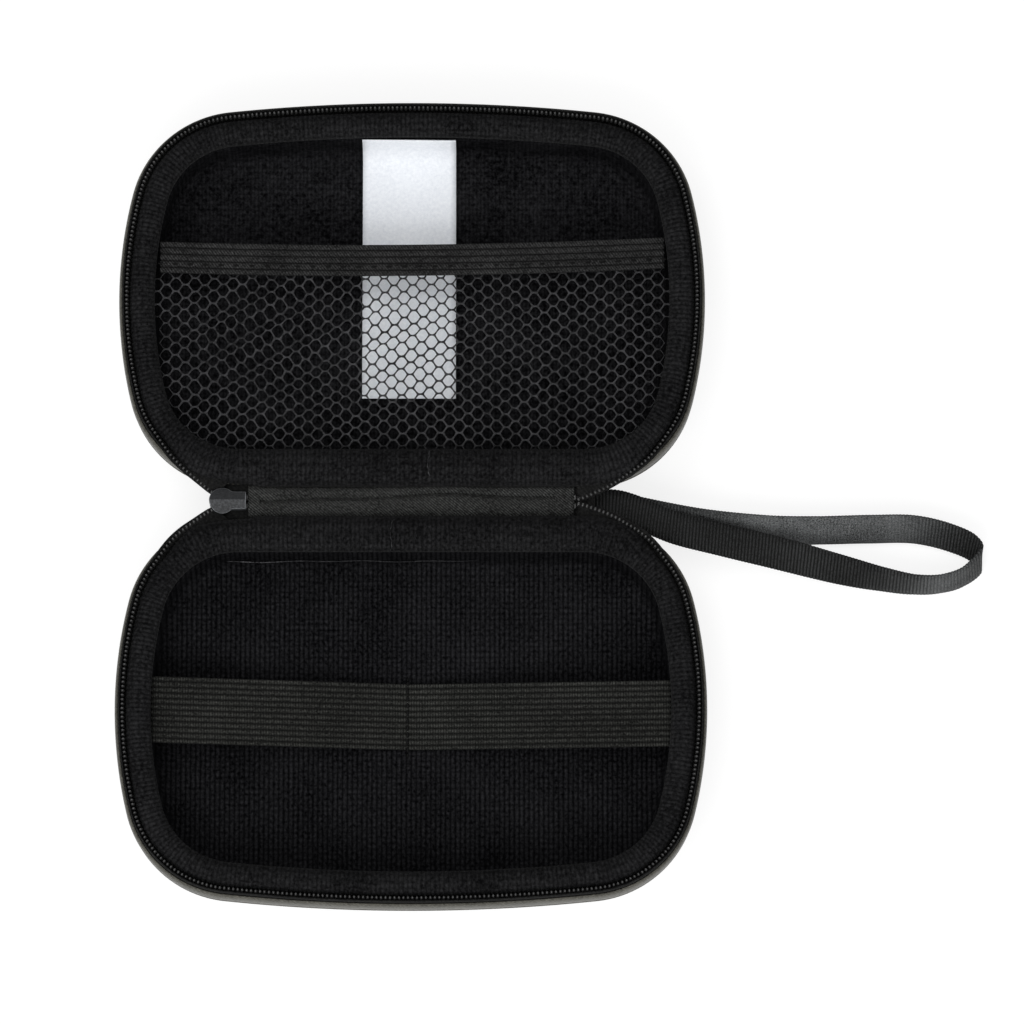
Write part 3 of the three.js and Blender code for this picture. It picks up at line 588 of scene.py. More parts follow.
skin_finish = cloth_finish(
    "satin skin", (0.038, 0.0365, 0.030), (0.118, 0.114, 0.096), 0.0008,
    [((0.7, 0.7, 0.35), 0.0008, 0.4, 2), ((-0.7, 0.7, 0.35), 0.0008, 0.25, 2)],
    roughness=0.45, specular=0.2, sheen=0.03, bump=0.00006,
)
shell_wall = [
    (0.0135, 0), (0.0115, 0), *arc_profile(back_edge_inset, back_radius, back_radius, 270, 180),
    (0.0004, 0.0094), (-0.0001, 0.0106), (0.0001, 0.0110), (0.00038, 0.0114), (0.00042, 0.0118),
    (0.00038, 0.0122), (0.0001, 0.0126), (-0.0002, 0.0130),
]
free_lip = [
    (-0.00030, 0.0152), (-0.00022, 0.0174), (0.00002, 0.0184), (0.00030, 0.0189), (0.00060, 0.0190),
    (0.00080, 0.0187), (0.00084, 0.0172),
]
hinge_lip = [
    (-0.0001, 0.0146), (0.0000, 0.0154), (0.0002, 0.0160), (0.0004, 0.0164), (0.0006, 0.0167),
    (0.0008, 0.0169), (0.0010, 0.0170),
]
shell_line = edge_line(shell_steps, 0)
for half in ("base", "lid"):
    shell = tray_piece(
        f"{half}_shell_skin", half, shell_line, shell_wall + free_lip + cavity_profile(0), skin_finish,
        shell_wall + hinge_lip + cavity_profile(0),
    )
    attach(shell, half)
    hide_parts(f"{half}_shell")


# Linings
# A tray of napped knit is bonded into each shell. The base's knit shows its ribs across the case, the lid's
# has a finer, longer nap that hides them. Its colour is painted darker on the walls than on the floor, as
# painted shade under the rim.
lining_gap = 0.0003
lining_depth = 0.001
# How much of the knit's light colour shows at each height: less up the walls, as painted shade
shade_factor_at_height = {0.0040: 1.0, 0.0046: 0.90, 0.0058: 0.70, 0.0080: 0.56, 0.0170: 0.56}

lining_profile = cavity_profile(lining_gap)[::-1] + cavity_profile(lining_depth)
shade_heights, shade_factors = zip(*shade_factor_at_height.items())
nap_share = [np.interp(height, shade_heights, shade_factors) for inset, height in lining_profile]
for half, rib_pitch, rib_strength, nap, tone in (
    ("base", 0.00141, 0.8, 0.0010, 0.0256),
    ("lid", 0.0011, 0.4, 0.0011, 0.0232),
):
    velour_finish = cloth_finish(
        f"{half} velour", (0.0010, 0.0010, 0.0013), (tone, tone, 1.09 * tone), nap,
        [((1, 0, 0), rib_pitch, rib_strength, 2), ((0, 1, 0), 0.0016, 0.3, 2)],
        roughness=0.95, specular=0.02, sheen=0.0, bump=0.0004, shown_by="nap_share",
    )
    lining = tray_piece(
        f"{half}_velour_lining", half, shell_line, lining_profile, velour_finish, nap_share=nap_share
    )
    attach(lining, half)
    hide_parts(f"{half}_lining")


# Rim bindings
# A padded roll of ribbed knit is sewn over each half's edge, with its ribs across the roll. It is wider
# beside the spine, where it covers the welt, and its ends meet there in a butt seam.
rim_rib_pitch = 0.00129
rim_rib_depth = 0.00017
rim_points_per_rib = 4
rim_inset = 0.0063
rim_foot = 0.0180
rim_top = 0.02135
rim_inner_inset = 0.0101
rim_outer_inset = {"free": 0.0029, "hinge": -0.0007}
rim_free_u = 0.0738
rim_hinge_u = 0.0618
rim_hinge_drop = 0.0018
rim_section_length = 0.0119
rim_seam_u = {"base": 0.0057, "lid": 0.0049}
rim_seam_width = 0.0006
rim_seam_dent = 0.16
slider_u = 0.0529
slider_room_half = 0.0075
slider_room_depth = 0.0006
slider_room_drop = 0.0033
seam_thread_radius = 0.00010


def waves(at, *terms):
    """A sum of waves, each with a height, a rate and a start"""
    return sum(height * np.sin(at * rate + start) for height, rate, start in terms)


def bump_at(values, middle, half_width, power=2):
    """1 at the middle, falling to 0 on either side of it"""
    return np.exp(-(((values - middle) / half_width) ** power))


def band_piece(name, rings, finish, **attributes):
    """A closed section along an open line, with flat ends"""
    count = rings.shape[1]
    faces = quads(len(rings), count, loop_rows=True)
    faces += [tuple(index * count for index in range(len(rings)))]
    faces += [tuple(index * count + count - 1 for index in reversed(range(len(rings))))]
    return add_piece(name, rings, faces, finish, **attributes)


def thread_piece(name, line, radius, finish, shares, sides=6):
    """A round thread along a line of points, which shows by the share that each of them has"""
    along = unit(np.gradient(line, axis=0))
    aside = unit(np.cross(along, np.array([0.31, 0.17, 0.94])))
    above = np.cross(aside, along)
    turn = np.linspace(0, 2 * math.pi, sides, endpoint=False)
    rings = np.stack([line + radius * (aside * math.cos(a) + above * math.sin(a)) for a in turn])
    return band_piece(name, rings, finish, thread_share=np.tile(shares, sides))


rim_finish = cloth_finish(
    "ribbed knit", (0.0010, 0.0010, 0.0012), (0.0240, 0.0240, 0.0252), 0.0009,
    [("rib_at", rim_rib_pitch, 0.55, 2), ("across_at", 0.0017, 0.35, 2)],
    roughness=0.92, specular=0.05, bump=0.0003,
)
pale_thread_finish = cloth_finish(
    "pale thread", (0.006, 0.006, 0.007), (0.13, 0.13, 0.135), 0.0012, [], roughness=0.8, specular=0.1,
    bump=0.00003, shown_by="thread_share",
)
rim_length = edge_line(2000, rim_inset)[2][-1]
rim_ribs = round(rim_length / rim_rib_pitch)
rim_line = edge_line(rim_ribs * rim_points_per_rib, rim_inset)
rim_points, rim_outwards, rim_travelled = rim_line
hinge_side = rim_outwards[:, 1] < -0.85

turn = np.linspace(math.pi, 0, 15)[1:-1]
bulge = [(np.sign(math.cos(a)) * abs(math.cos(a)) ** 0.9, math.sin(a) ** 0.85) for a in turn]
rim_profile = [(-1, 0)] + bulge + [(1, 0.08), (0.985, -0.28), (0.1, -0.28), (0.08, 0)]
rib_fade = [float(rise > 0.02) for side, rise in rim_profile]
# The roll reaches the spine between the zip's ends, and makes way for the teeth beyond them
at_hinge = hinge_share(rim_line, rim_free_u, rim_hinge_u)
rim_outer = rim_outer_inset["free"] * (1 - at_hinge) + rim_outer_inset["hinge"] * at_hinge
uneven = waves(rim_travelled, (0.00016, 310, 0), (0.00012, 127, 1))
for half, seam_u in rim_seam_u.items():
    # It is pressed in where the slider lies, which turns in between the two rolls when the case is closed
    at_slider = bump_at(rim_points[:, 0], -half_sign[half] * slider_u, slider_room_half, 4) * at_hinge
    rim_drop = rim_hinge_drop * at_hinge + slider_room_drop * at_slider
    rim_near = rim_outer + slider_room_depth * at_slider
    rim_middle = (rim_near + rim_inner_inset) / 2
    rim_reach = (rim_inner_inset - rim_near) / 2
    at_seam = bump_at(rim_points[:, 0], seam_u, rim_seam_width) * hinge_side
    rings = []
    for side, rise in rim_profile:
        inset = rim_middle + side * rim_reach
        swell = (rim_top - rim_foot) * rise * (1 - rim_seam_dent * at_seam) + uneven * max(rise, 0)
        swell -= rim_drop * (1 - rise) * (side < 0)
        rings.append(spread(*(rim_points - rim_outwards * inset[:, None]).T, rim_foot + swell))
    rings = in_half(half, np.stack(rings))
    count = len(rim_points)
    rim = add_piece(
        f"{half}_rim_roll", rings, quads(len(rim_profile), count, True, True),
        rib_at=np.tile(rim_travelled, len(rim_profile)), rib_fade=np.repeat(rib_fade, count),
        across_at=np.repeat(np.linspace(0, rim_section_length, len(rim_profile)), count),
    )
    press_ribs(rim, rim_length / rim_ribs, rim_rib_depth, rim_finish)
    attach(rim, half)
    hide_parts(f"{half}_rim_binding", f"{half}_hinge_welt")

    # Loose fibres along the butt seam
    seam_column = np.argmin(np.where(hinge_side, np.abs(rim_points[:, 0] - seam_u), np.inf))
    seam_line = smooth_line(rings[4:len(bulge) + 1, seam_column], 60)[0]
    down_seam = np.linspace(0, 1, len(seam_line))
    seam_line[:, 0] += waves(down_seam, (0.00025, 9, 1), (0.0001, 31, 0))
    seam_share = 0.25 + 0.5 * np.sin(down_seam * 14) ** 2
    seam = thread_piece(f"{half}_rim_seam", seam_line, seam_thread_radius, pale_thread_finish, seam_share)
    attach(seam, half)


# Lining crease
# The base's lining is creased along the foot of its wall beside the spine. A thin pale thread lies along
# it as a painted highlight where the crease catches the light; it wanders a little, fades along the case and
# is brightest over one stretch.
crease_thread_radius = 0.00016
crease_inset = 0.0107
crease_height = 0.0078
crease_start = -0.022
crease_end = 0.0555
crease_fade_length = 0.06
crease_highlight_u = 0.049
crease_highlight_half = 0.012
crease_u = np.linspace(crease_start, crease_end, 160)
wander = waves(crease_u, (0.00014, 330, 0), (0.00016, 121, 2), (0.0002, 47, 0))
crease = thread_piece(
    "base_lining_crease", in_half("base", spread(crease_u, crease_inset + wander, crease_height)),
    crease_thread_radius, pale_thread_finish,
    np.clip((crease_u - crease_start) / crease_fade_length, 0, 0.3)
    + 0.6 * bump_at(crease_u, crease_highlight_u, crease_highlight_half),
)
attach(crease, "base")


# Zips
# A woven tape stands up round the three free sides of each half, with its foot folded under the rim binding.
# A row of nylon teeth is sewn along the tape's top edge.
tooth_pitch = 0.00127
tooth_size = (0.00098, 0.00125, 0.0030)
tooth_middle = 0.0202
tooth_inset = 0.0021
zip_end_u = 0.0755
tape_top = 0.02135
tape_profile = [
    (0.0009, 0.0174), (0.0010, 0.0173), (0.0060, 0.0173), (0.0060, 0.0178), (0.0013, 0.0178),
    (0.0013, tape_top - 0.0002), (0.0011, tape_top), (0.0009, tape_top - 0.0002),
]
upright = (0, 0, 1)

# Sets copies of one piece at even steps along a line, lengthwise along it, with their tops the way row_up
# points
row_tree, given, made = new_tree(
    "Row along a line",
    {"Line": "Geometry", "Copied": "Object", "Spacing": "Float", "Finish": "Material"},
    {"Row": "Geometry"},
)
line = add_node(row_tree, "GeometryNodeMeshToCurve", {0: given["Line"]})
even = {"Curve": line, "Length": given["Spacing"]}
even = add_node(row_tree, "GeometryNodeResampleCurve", even, mode="LENGTH")
copied = add_node(row_tree, "GeometryNodeObjectInfo", {"Object": given["Copied"]}).outputs["Geometry"]
tangent = add_node(row_tree, "GeometryNodeInputTangent")
lengthwise = add_node(row_tree, "FunctionNodeAlignRotationToVector", {"Vector": tangent}, axis="X")
topside = {"Rotation": lengthwise, "Vector": kept_on_points(row_tree, "row_up", "FLOAT_VECTOR")}
topside = add_node(row_tree, "FunctionNodeAlignRotationToVector", topside, axis="Z", pivot_axis="X")
copies = {"Points": even, "Instance": copied, "Rotation": topside}
copies = add_node(row_tree, "GeometryNodeInstanceOnPoints", copies)
real = add_node(row_tree, "GeometryNodeRealizeInstances", {0: copies})
finished = add_node(row_tree, "GeometryNodeSetMaterial", {"Geometry": real, "Material": given["Finish"]})
feed(made, {"Row": finished})


def row_piece(name, lines, ups, copied, spacing, finish):
    """Copies of a piece along one or more lines of points, with their tops up as given for each line"""
    row_up = np.concatenate([np.broadcast_to(up, line.shape) for line, up in zip(lines, ups)])
    piece = add_piece(name, np.concatenate(lines), [], row_up=row_up)
    edges, first = [], 0
    for line in lines:
        edges += [(first + index, first + index + 1) for index in range(len(line) - 1)]
        first += len(line)
    piece.data.edges.add(len(edges))
    piece.data.edges.foreach_set("vertices", np.ravel(edges))
    use_tree(piece, row_tree, copied=copied, spacing=spacing, finish=finish).data.shade_smooth()
    return piece


def bead(name, size, sides=8, rings=5):
    """A rounded bead that is copied along rows and then taken away"""
    mesh = bpy.data.meshes.new(name)
    solid = bmesh.new()
    bmesh.ops.create_uvsphere(solid, u_segments=sides, v_segments=rings, radius=0.5)
    bmesh.ops.scale(solid, vec=size, verts=solid.verts)
    solid.to_mesh(mesh)
    solid.free()
    return add_object(name, mesh)


zip_tape_finish = cloth_finish(
    "zip tape", (0.0016, 0.0016, 0.0017), (0.0170, 0.0170, 0.0165), 0.0007,
    [((0, 0, 1), 0.0007, 0.4, 2), ((0.7, 0.7, 0), 0.0009, 0.4, 2)],
    roughness=0.8, specular=0.08, bump=0.00008,
)
tooth_finish = cloth_finish(
    "nylon teeth", (0.008, 0.008, 0.008), (0.034, 0.034, 0.034), 0.0008, [],
    roughness=0.3, specular=0.6, sheen=0, bump=0.00002,
)
tooth = bead("tooth", tooth_size)
tape_line = edge_line(220, 0, zip_end_u)
tooth_line = edge_line(800, tooth_inset, zip_end_u)
for half in ("base", "lid"):
    tape = band_piece(f"{half}_zip_band", edge_rings(half, tape_line, tape_profile), zip_tape_finish)
    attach(tape, half)
    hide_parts(f"{half}_zip_tape")
    tooth_row = edge_rings(half, tooth_line, [(tooth_inset, tooth_middle)])
    teeth = row_piece(f"{half}_zip_teeth", tooth_row, [upright], tooth, tooth_pitch, tooth_finish)
    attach(teeth, half)
    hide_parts(f"{half}_zip_coil")


# Zip arms
# At each end of the spine the two rows of teeth leave the rims, lean over and come together: at one end in
# the slider, at the other in the chain's closed end.
arm_routes = {
    "slider": [
        (-0.0738, 0.0143, 0.0202), (-0.0716, 0.0110, 0.0202), (-0.0690, 0.0076, 0.0201),
        (-0.0660, 0.0046, 0.0198), (-0.0628, 0.0020, 0.0190), (-0.0600, -0.0002, 0.0180),
        (-0.0580, -0.0017, 0.0171), (-0.0564, -0.0026, 0.0164),
    ],
    "chain": [
        (0.0738, 0.0143, 0.0202), (0.0716, 0.0111, 0.0202), (0.0690, 0.0079, 0.0201),
        (0.0658, 0.0050, 0.0199), (0.0620, 0.0025, 0.0193), (0.0575, -0.0002, 0.0183),
        (0.0526, -0.0024, 0.0172), (0.0496, -0.0036, 0.0165), (0.0480, -0.0041, 0.0163),
    ],
}
arm_steps = 60
arm_lean = np.array([0, -0.8, 0.6])
arm_tooth_size = (0.00098, 0.00120, 0.0021)
arm_tape_thickness = 0.0004
web_foot_end = {"slider": 0.0510, "chain": 0.0470}
web_foot_height = 0.0175
web_foot_inset = {"rim": 0.0050, "spine": 0.0022}
web_fold_inset = 0.0011


def thicken(piece, thickness):
    """Gives a sheet its thickness, half of it to each side"""
    sheet = piece.modifiers.new("thickness", "SOLIDIFY")
    sheet.thickness = thickness
    sheet.offset = 0
    return settle(piece)


arm_tooth = bead("arm tooth", arm_tooth_size)
corner_centre_u = case_half_length - side_bow - corner_radius
share = np.linspace(0, 1, arm_steps)[:, None]
for half, sign in half_sign.items():
    for end, route in arm_routes.items():
        route = np.array(route) * (sign, 1, 1)
        line = smooth_line(route, arm_steps)[0]
        along = unit(np.gradient(line, axis=0))
        ups = squared(unit(np.array(upright) * (1 - share) + arm_lean * share), along)
        # The tape's foot stays on the rim while its other edge follows the teeth
        foot_u = np.linspace(zip_end_u, web_foot_end[end], arm_steps)
        past_corner = np.clip(foot_u - corner_centre_u, 0, None)
        foot_v = corner_radius - np.sqrt(corner_radius**2 - past_corner**2)
        side = np.sign(route[0][0])
        inwards = spread(-side * past_corner, corner_radius - foot_v, 0) / corner_radius
        on_edge = spread(side * foot_u, foot_v, web_foot_height)
        foot = on_edge + inwards * (web_foot_inset["rim"] * (1 - share) + web_foot_inset["spine"] * share)
        behind = np.cross(along, ups)
        behind *= -np.sign(np.sum(behind[0] * inwards[0]))
        edge = line + ups * (tape_top - tooth_middle) * (1 - 0.3 * share)
        edge = edge + behind * (tooth_inset - web_fold_inset) * (1 - 0.4 * share)
        fold = on_edge + inwards * web_fold_inset
        fold = fold * (1 - share) + (foot * 0.6 + edge * 0.4) * share
        web = [foot, foot * 0.5 + fold * 0.5, fold]
        web += [fold * (1 - t) + edge * t for t in (0.1, 0.4, 0.7, 1.0)]
        arm_tape = add_piece(
            f"{half}_{end}_arm_tape", in_half(half, np.stack(web)), quads(len(web), arm_steps), zip_tape_finish
        )
        thicken(arm_tape, arm_tape_thickness)
        arm_teeth = row_piece(
            f"{half}_{end}_arm_teeth", [in_half(half, line)], [ups * (sign, sign, 1)], arm_tooth, tooth_pitch,
            tooth_finish,
        )
        start, finish = in_half(half, route[[0, -1]])
        for piece, slot in ((arm_tape, "zip_tape"), (arm_teeth, "zip_coil")):
            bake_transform(piece)


# Spine
# A strip of twill joins the halves, folded along its length on the lid's side, over a panel in the shell's
# skin. A short tab of the same twill is folded over each end, and the closed ends of the zip lie just past
# them.
spine_end = 0.0468
spine_section = [
    (-0.0048, 0.0156), (-0.0041, 0.0163), (-0.0020, 0.01688), (-0.0004, 0.01690), (0.0007, 0.01660),
    (0.0012, 0.01560), (0.0016, 0.01540), (0.0020, 0.01660), (0.0034, 0.01690), (0.0048, 0.0160),
]
twill_half_width = 0.0048
twill_sway = 0.0009
panel_half_width = 0.0047
panel_top = 0.01485
panel_round = 0.0004
end_tuck = 0.0002
end_tuck_length = 0.0004
chain_tape_half_width = 0.0054
chain_tape_top = 0.0158
chain_half_gap = 0.00125
chain_height = 0.0162

twill_finish = cloth_finish(
    "twill", (0.0012, 0.0012, 0.0012), (0.078, 0.080, 0.077), 0.0007, [((0.64, 0.77, 0), 0.00064, 1.0, 2)],
    roughness=0.65, specular=0.12, bump=0.0002,
)


def strip_piece(name, section, thickness, from_x, to_x, steps, finish, sway=0.0):
    """A strip of cloth along the spine, its section listed in Y and Z from the base's side to the lid's"""
    section = np.array(section)
    loop = np.concatenate([section, section[::-1] - np.array([0, thickness])])
    x = np.linspace(from_x, to_x, steps)
    tuck = end_tuck * np.exp(-np.minimum(x - from_x, to_x - x) / end_tuck_length)
    drift = waves(x, (sway, 62, 0.8), (0.35 * sway, 171, 0))
    rings = [spread(x, y + drift * (1 - (y / twill_half_width) ** 2), z - tuck) for y, z in loop]
    return band_piece(name, np.stack(rings), finish)


spine_twill = strip_piece(
    "spine_twill", spine_section, 0.0005, -spine_end, spine_end, 120, twill_finish, twill_sway
)
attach(spine_twill, "spine")
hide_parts("spine_tape")

panel_section = [
    (y, panel_top - panel_round * (y / panel_half_width) ** 4)
    for y in np.linspace(-panel_half_width, panel_half_width, 13)
]
spine_back = strip_piece("spine_back", panel_section, 0.0011, -spine_end, spine_end, 60, skin_finish)
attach(spine_back, "spine")
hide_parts("spine_panel")

tab_section = [(y, z + 0.00026) for y, z in spine_section]
tab_section[4:8] = [(0.0008, 0.01698), (0.0014, 0.01696), (0.0018, 0.01696), (0.0022, 0.01698)]
chain_section = [(y, chain_tape_top) for y in np.linspace(-chain_tape_half_width, chain_tape_half_width, 9)]
chain_sides = (-chain_half_gap, chain_half_gap)
for side, tab_ends, tape_ends, chain_ends in (
    ("left", (-0.0470, -0.0436), (-0.0556, -0.0464), (-0.0512, -0.0474)),
    ("right", (0.0412, 0.0468), (0.0464, 0.0528), (0.0470, 0.0484)),
):
    tab = strip_piece(f"spine_{side}_tab_fold", tab_section, 0.0003, *tab_ends, 16, twill_finish)
    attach(tab, "spine")
    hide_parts(f"spine_tab_{side}")

    chain_tape = strip_piece(
        f"closed_chain_{side}_tape", chain_section, 0.0004, *tape_ends, 16, zip_tape_finish
    )
    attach(chain_tape, "spine")

    lines = [spread(np.linspace(*chain_ends, 12), y, chain_height) for y in chain_sides]
    ups = [(0, -np.sign(y), 0) for y in chain_sides]
    closed_chain = row_piece(f"closed_chain_{side}", lines, ups, arm_tooth, tooth_pitch, tooth_finish)
    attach(closed_chain, "spine")
    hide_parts(f"chain_end_{side}")

bpy.data.objects.remove(tooth)
bpy.data.objects.remove(arm_tooth)


# Slider and pull
# A die-cast slider in gunmetal: two plates over and under the teeth, joined by a post at the nose and
# flanges at the sides, with a bail beneath that the pull hangs in.
slider_nose = -0.0582
slider_tail = -0.0476
slider_middle = (slider_nose + slider_tail) / 2
slider_bevel = 0.00022
disc_radius = 0.00378
tail_half_width = 0.00255
waist_radius = 0.0016
plate_ridge = 0.0018
post_outline = [(-0.0573, 0), (-0.0559, -0.0009), (-0.0545, 0), (-0.0559, 0.0009)]
flange_outline = [(-0.0536, 0.0022), (-0.0477, 0.0020), (-0.0477, 0.0025), (-0.0536, 0.0027)]
bail_half_width = 0.0011
bail_outline = [
    (-0.0024, 0.0140), (-0.0024, 0.0110), (-0.0020, 0.0106), (0.0020, 0.0106), (0.0024, 0.0110),
    (0.0024, 0.0140), (0.0016, 0.0140), (0.0016, 0.0114), (-0.0016, 0.0114), (-0.0016, 0.0140),
]
shaded_slope_share = 0.4

gunmetal_finish = cloth_finish(
    "gunmetal", (0.0236, 0.0243, 0.0255), (0.0725, 0.0748, 0.079), 0.0006, [], roughness=0.42, specular=0.10,
    sheen=0, bump=0.00004, metallic=0.1, shown_by="rubbed_share",
)
pull_finish = cloth_finish(
    "gunmetal pull", (0.010, 0.0105, 0.011), (0.080, 0.084, 0.090), 0.0005, [], roughness=0.42, specular=0.12,
    sheen=0, bump=0.00004, metallic=0.1,
)
# The bevels' paler metal: edge wear and a painted highlight
edge_wear_and_highlight_finish = cloth_finish(
    "worn gunmetal edge", (0.075, 0.079, 0.083), (0.21, 0.218, 0.232), 0.0008, [], roughness=0.35,
    specular=0.3, sheen=0, bump=0.00003, metallic=0.3,
)


def prism(outline, low, high, plane=(0, 1, 2)):
    """Points and faces of a straight solid. Its outline lies along the plane's first two axes, and low and
    high along its third."""
    count = len(outline)
    points = np.zeros((2 * count, 3))
    points[:, plane[:2]] = np.tile(outline, (2, 1))
    points[:, plane[2]] = np.repeat([low, high], count)
    faces = [tuple(range(count)), tuple(range(count, 2 * count))]
    faces += [(i, (i + 1) % count, count + (i + 1) % count, count + i) for i in range(count)]
    return points, faces


def ridged_plate(outline, low, high, rise):
    """A plate whose top is folded along Y = 0, and rises to a ridge there"""
    points, faces = prism(outline, low, high)
    count = len(outline)
    points[count:, 2] += rise * (1 - np.abs(points[count:, 1]) / disc_radius)
    upper = [count + index for index, (x, y) in enumerate(outline) if y > -1e-9]
    lower = [count + index for index, (x, y) in enumerate(outline) if y < 1e-9]
    faces[1:2] = [tuple(upper), tuple(lower[1:] + lower[:1])]
    return points, faces


def merged(solids):
    """One list of points and one of faces for several solids"""
    all_points, all_faces = [], []
    for points, faces in solids:
        all_faces += [tuple(len(all_points) + index for index in face) for face in faces]
        all_points += list(points)
    return np.array(all_points), all_faces


# The round disc runs over into the narrow tail in a hollow curve on each side
disc_x = slider_nose + disc_radius
waist_y = tail_half_width + waist_radius
waist = math.asin(waist_y / (disc_radius + waist_radius))
waist_x = disc_x + waist_y / math.tan(waist)
hollow = [
    (waist_x + waist_radius * math.cos(a), waist_y + waist_radius * math.sin(a))
    for a in np.linspace(1.5 * math.pi, math.pi + waist, 8)[:-1]
]
disc_angle = np.linspace(waist, 2 * math.pi - waist, 37)
plate_outline = [(slider_tail, 0), (slider_tail, tail_half_width)] + hollow
plate_outline += [(disc_x + disc_radius * math.cos(a), disc_radius * math.sin(a)) for a in disc_angle]
plate_outline += [(x, -y) for x, y in reversed(hollow)] + [(slider_tail, -tail_half_width)]
solids = [
    ridged_plate(plate_outline, 0.0172, 0.0176, plate_ridge),
    prism(plate_outline, 0.0138, 0.0150),
    prism(post_outline, 0.0149, 0.0175),
]
solids += [prism([(x, side * y) for x, y in flange_outline], 0.0148, 0.0174) for side in (1, -1)]
bail = [(slider_middle + x, z) for x, z in bail_outline]
solids += [prism(bail, -bail_half_width, bail_half_width, (0, 2, 1))]
slider = add_piece("slider_casting", *merged(solids), gunmetal_finish)
slider.data.set_sharp_from_angle(angle=math.radians(30))
# One slope of the top is painted darker than the other, as painted shade on the slope that faces away from
# the light
slope_shade = slider.data.attributes.new("rubbed_share", "FLOAT", "FACE")
slope_shade.data.foreach_set("value", [
    shaded_slope_share if face.normal.y > 0.2 and face.normal.z > 0.5 else 1.0
    for face in slider.data.polygons
])
# Its edges are rounded and painted paler along the bevels: edge wear and a painted highlight
rounding = slider.modifiers.new("rounding", "BEVEL")
rounding.width = slider_bevel
rounding.segments = 3
rounding.limit_method = "ANGLE"
rounding.angle_limit = math.radians(60)
rounding.harden_normals = True
slider.data.materials.append(edge_wear_and_highlight_finish)
rounding.material = 1
settle(slider)
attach(slider, "spine")
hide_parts("slider_body")

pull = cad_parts["pull_tab"]
pull.data.materials.clear()
pull.data.materials.append(pull_finish)


# Strap anchor
# The two ends of the webbing are folded under the spine's panel and sewn through it in a box of stitches.
anchor_from = 0.0367
anchor_to = 0.0497
anchor_heights = (0.0110, 0.0126)
anchor_steps = 54
anchor_satin = 0.15

layers = []
for height in anchor_heights:
    line = spread(np.linspace(anchor_from, anchor_to, anchor_steps), 0, height)
    layers.append(webbing(line, np.array([0, 1.0, 0]), np.array([0, 0, 1.0]), strap_root_width / 2))
anchor_points, anchor_faces = merged(layers)
anchor = add_piece(
    "strap_sewn_ends", anchor_points, anchor_faces,
    rib_at=anchor_points[:, 0] - anchor_from, rib_fade=np.ones(len(anchor_points)),
    satin_share=np.full(len(anchor_points), anchor_satin),
)
press_ribs(anchor, strap_rib_pitch, strap_rib_depth, webbing_finish)
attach(anchor, "spine")
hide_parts("strap_anchor")


# Elastic strap
# Wide elastic with twelve raised ribs crosses the base. Its ends are held under the rim and its middle is
# sewn down to the floor, so it makes a shallow V.
elastic_y = -0.061
elastic_half_width = 0.0099
elastic_reach = 0.0744
elastic_thickness = 0.0011
elastic_ribs = 12
elastic_rib_depth = 0.00034
elastic_low = 0.0044
elastic_high = 0.0142
elastic_skew = 0.0006
elastic_steps = 149
sewn_x = -0.0011
sewn_half_length = 0.0112
sewn_height = 0.0043
sewn_rise = 0.00130
sewn_climb_from = 0.0106
sewn_climb_length = 0.0008
stitch_size = (0.0018, 0.0008, 0.0006)
stitch_pitch = 0.0021

elastic_finish = cloth_finish(
    "ribbed elastic", (0.0015, 0.0016, 0.0014), (0.058, 0.059, 0.054), 0.0006,
    [("rib_at", 2 * elastic_half_width / elastic_ribs, 1.0, 1.6), ((1, 0, 0), 0.00077, 0.75, 2)],
    roughness=0.8, specular=0.1, bump=0.00016,
)
thread_finish = cloth_finish(
    "black thread", (0.001, 0.001, 0.001), (0.006, 0.006, 0.006), 0.0003, [], roughness=0.7, specular=0.1,
    sheen=0, bump=0.00003,
)


def elastic_piece(name, x, middle_y, half_width, bottom, thickness, ribs, finish, rib_depth, sharpness):
    """A flat elastic along X. middle_y and bottom follow it, and its ribs run along it on both faces."""
    steps = 6 * ribs
    across = np.concatenate([np.linspace(-1, 1, steps + 1), np.linspace(1, -1, steps + 1)])
    level = np.repeat([1.0, 0.0], steps + 1)
    level[[0, steps]] = 0.7
    level[[steps + 1, -1]] = 0.3
    rings = np.stack([
        spread(x, middle_y + side * half_width, bottom + thickness * rise)
        for side, rise in zip(across, level)
    ])
    rib_at = np.repeat((across + 1) * half_width, len(x))
    piece = band_piece(name, rings, None, rib_at=rib_at, rib_fade=np.ones(len(rib_at)))
    return press_ribs(piece, 2 * half_width / ribs, rib_depth, finish, sharpness)


elastic_x = np.linspace(-elastic_reach, elastic_reach, elastic_steps)
rise = np.sqrt((elastic_x / elastic_reach) ** 2 + 0.0004) - 0.02
elastic = elastic_piece(
    "elastic_strap_band", elastic_x, elastic_y - elastic_skew * elastic_x / elastic_reach, elastic_half_width,
    elastic_low + (elastic_high - elastic_low) * rise, elastic_thickness, elastic_ribs, elastic_finish,
    elastic_rib_depth, 2.0,
)
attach(elastic, "base")
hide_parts("elastic_strap")

# The row of thread that sews the elastic's middle to the floor
stitch = bead("stitch", stitch_size, 6, 4)
sewn_y = np.linspace(elastic_y - sewn_half_length, elastic_y + sewn_half_length, 30)
over = np.clip((sewn_climb_from - np.abs(sewn_y - elastic_y)) / sewn_climb_length, 0, 1)
sewn_line = spread(sewn_x, sewn_y, sewn_height + sewn_rise * over)
strap_row = row_piece("strap_stitches", [sewn_line], [upright], stitch, stitch_pitch, thread_finish)
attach(strap_row, "base")
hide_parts("strap_stitch")


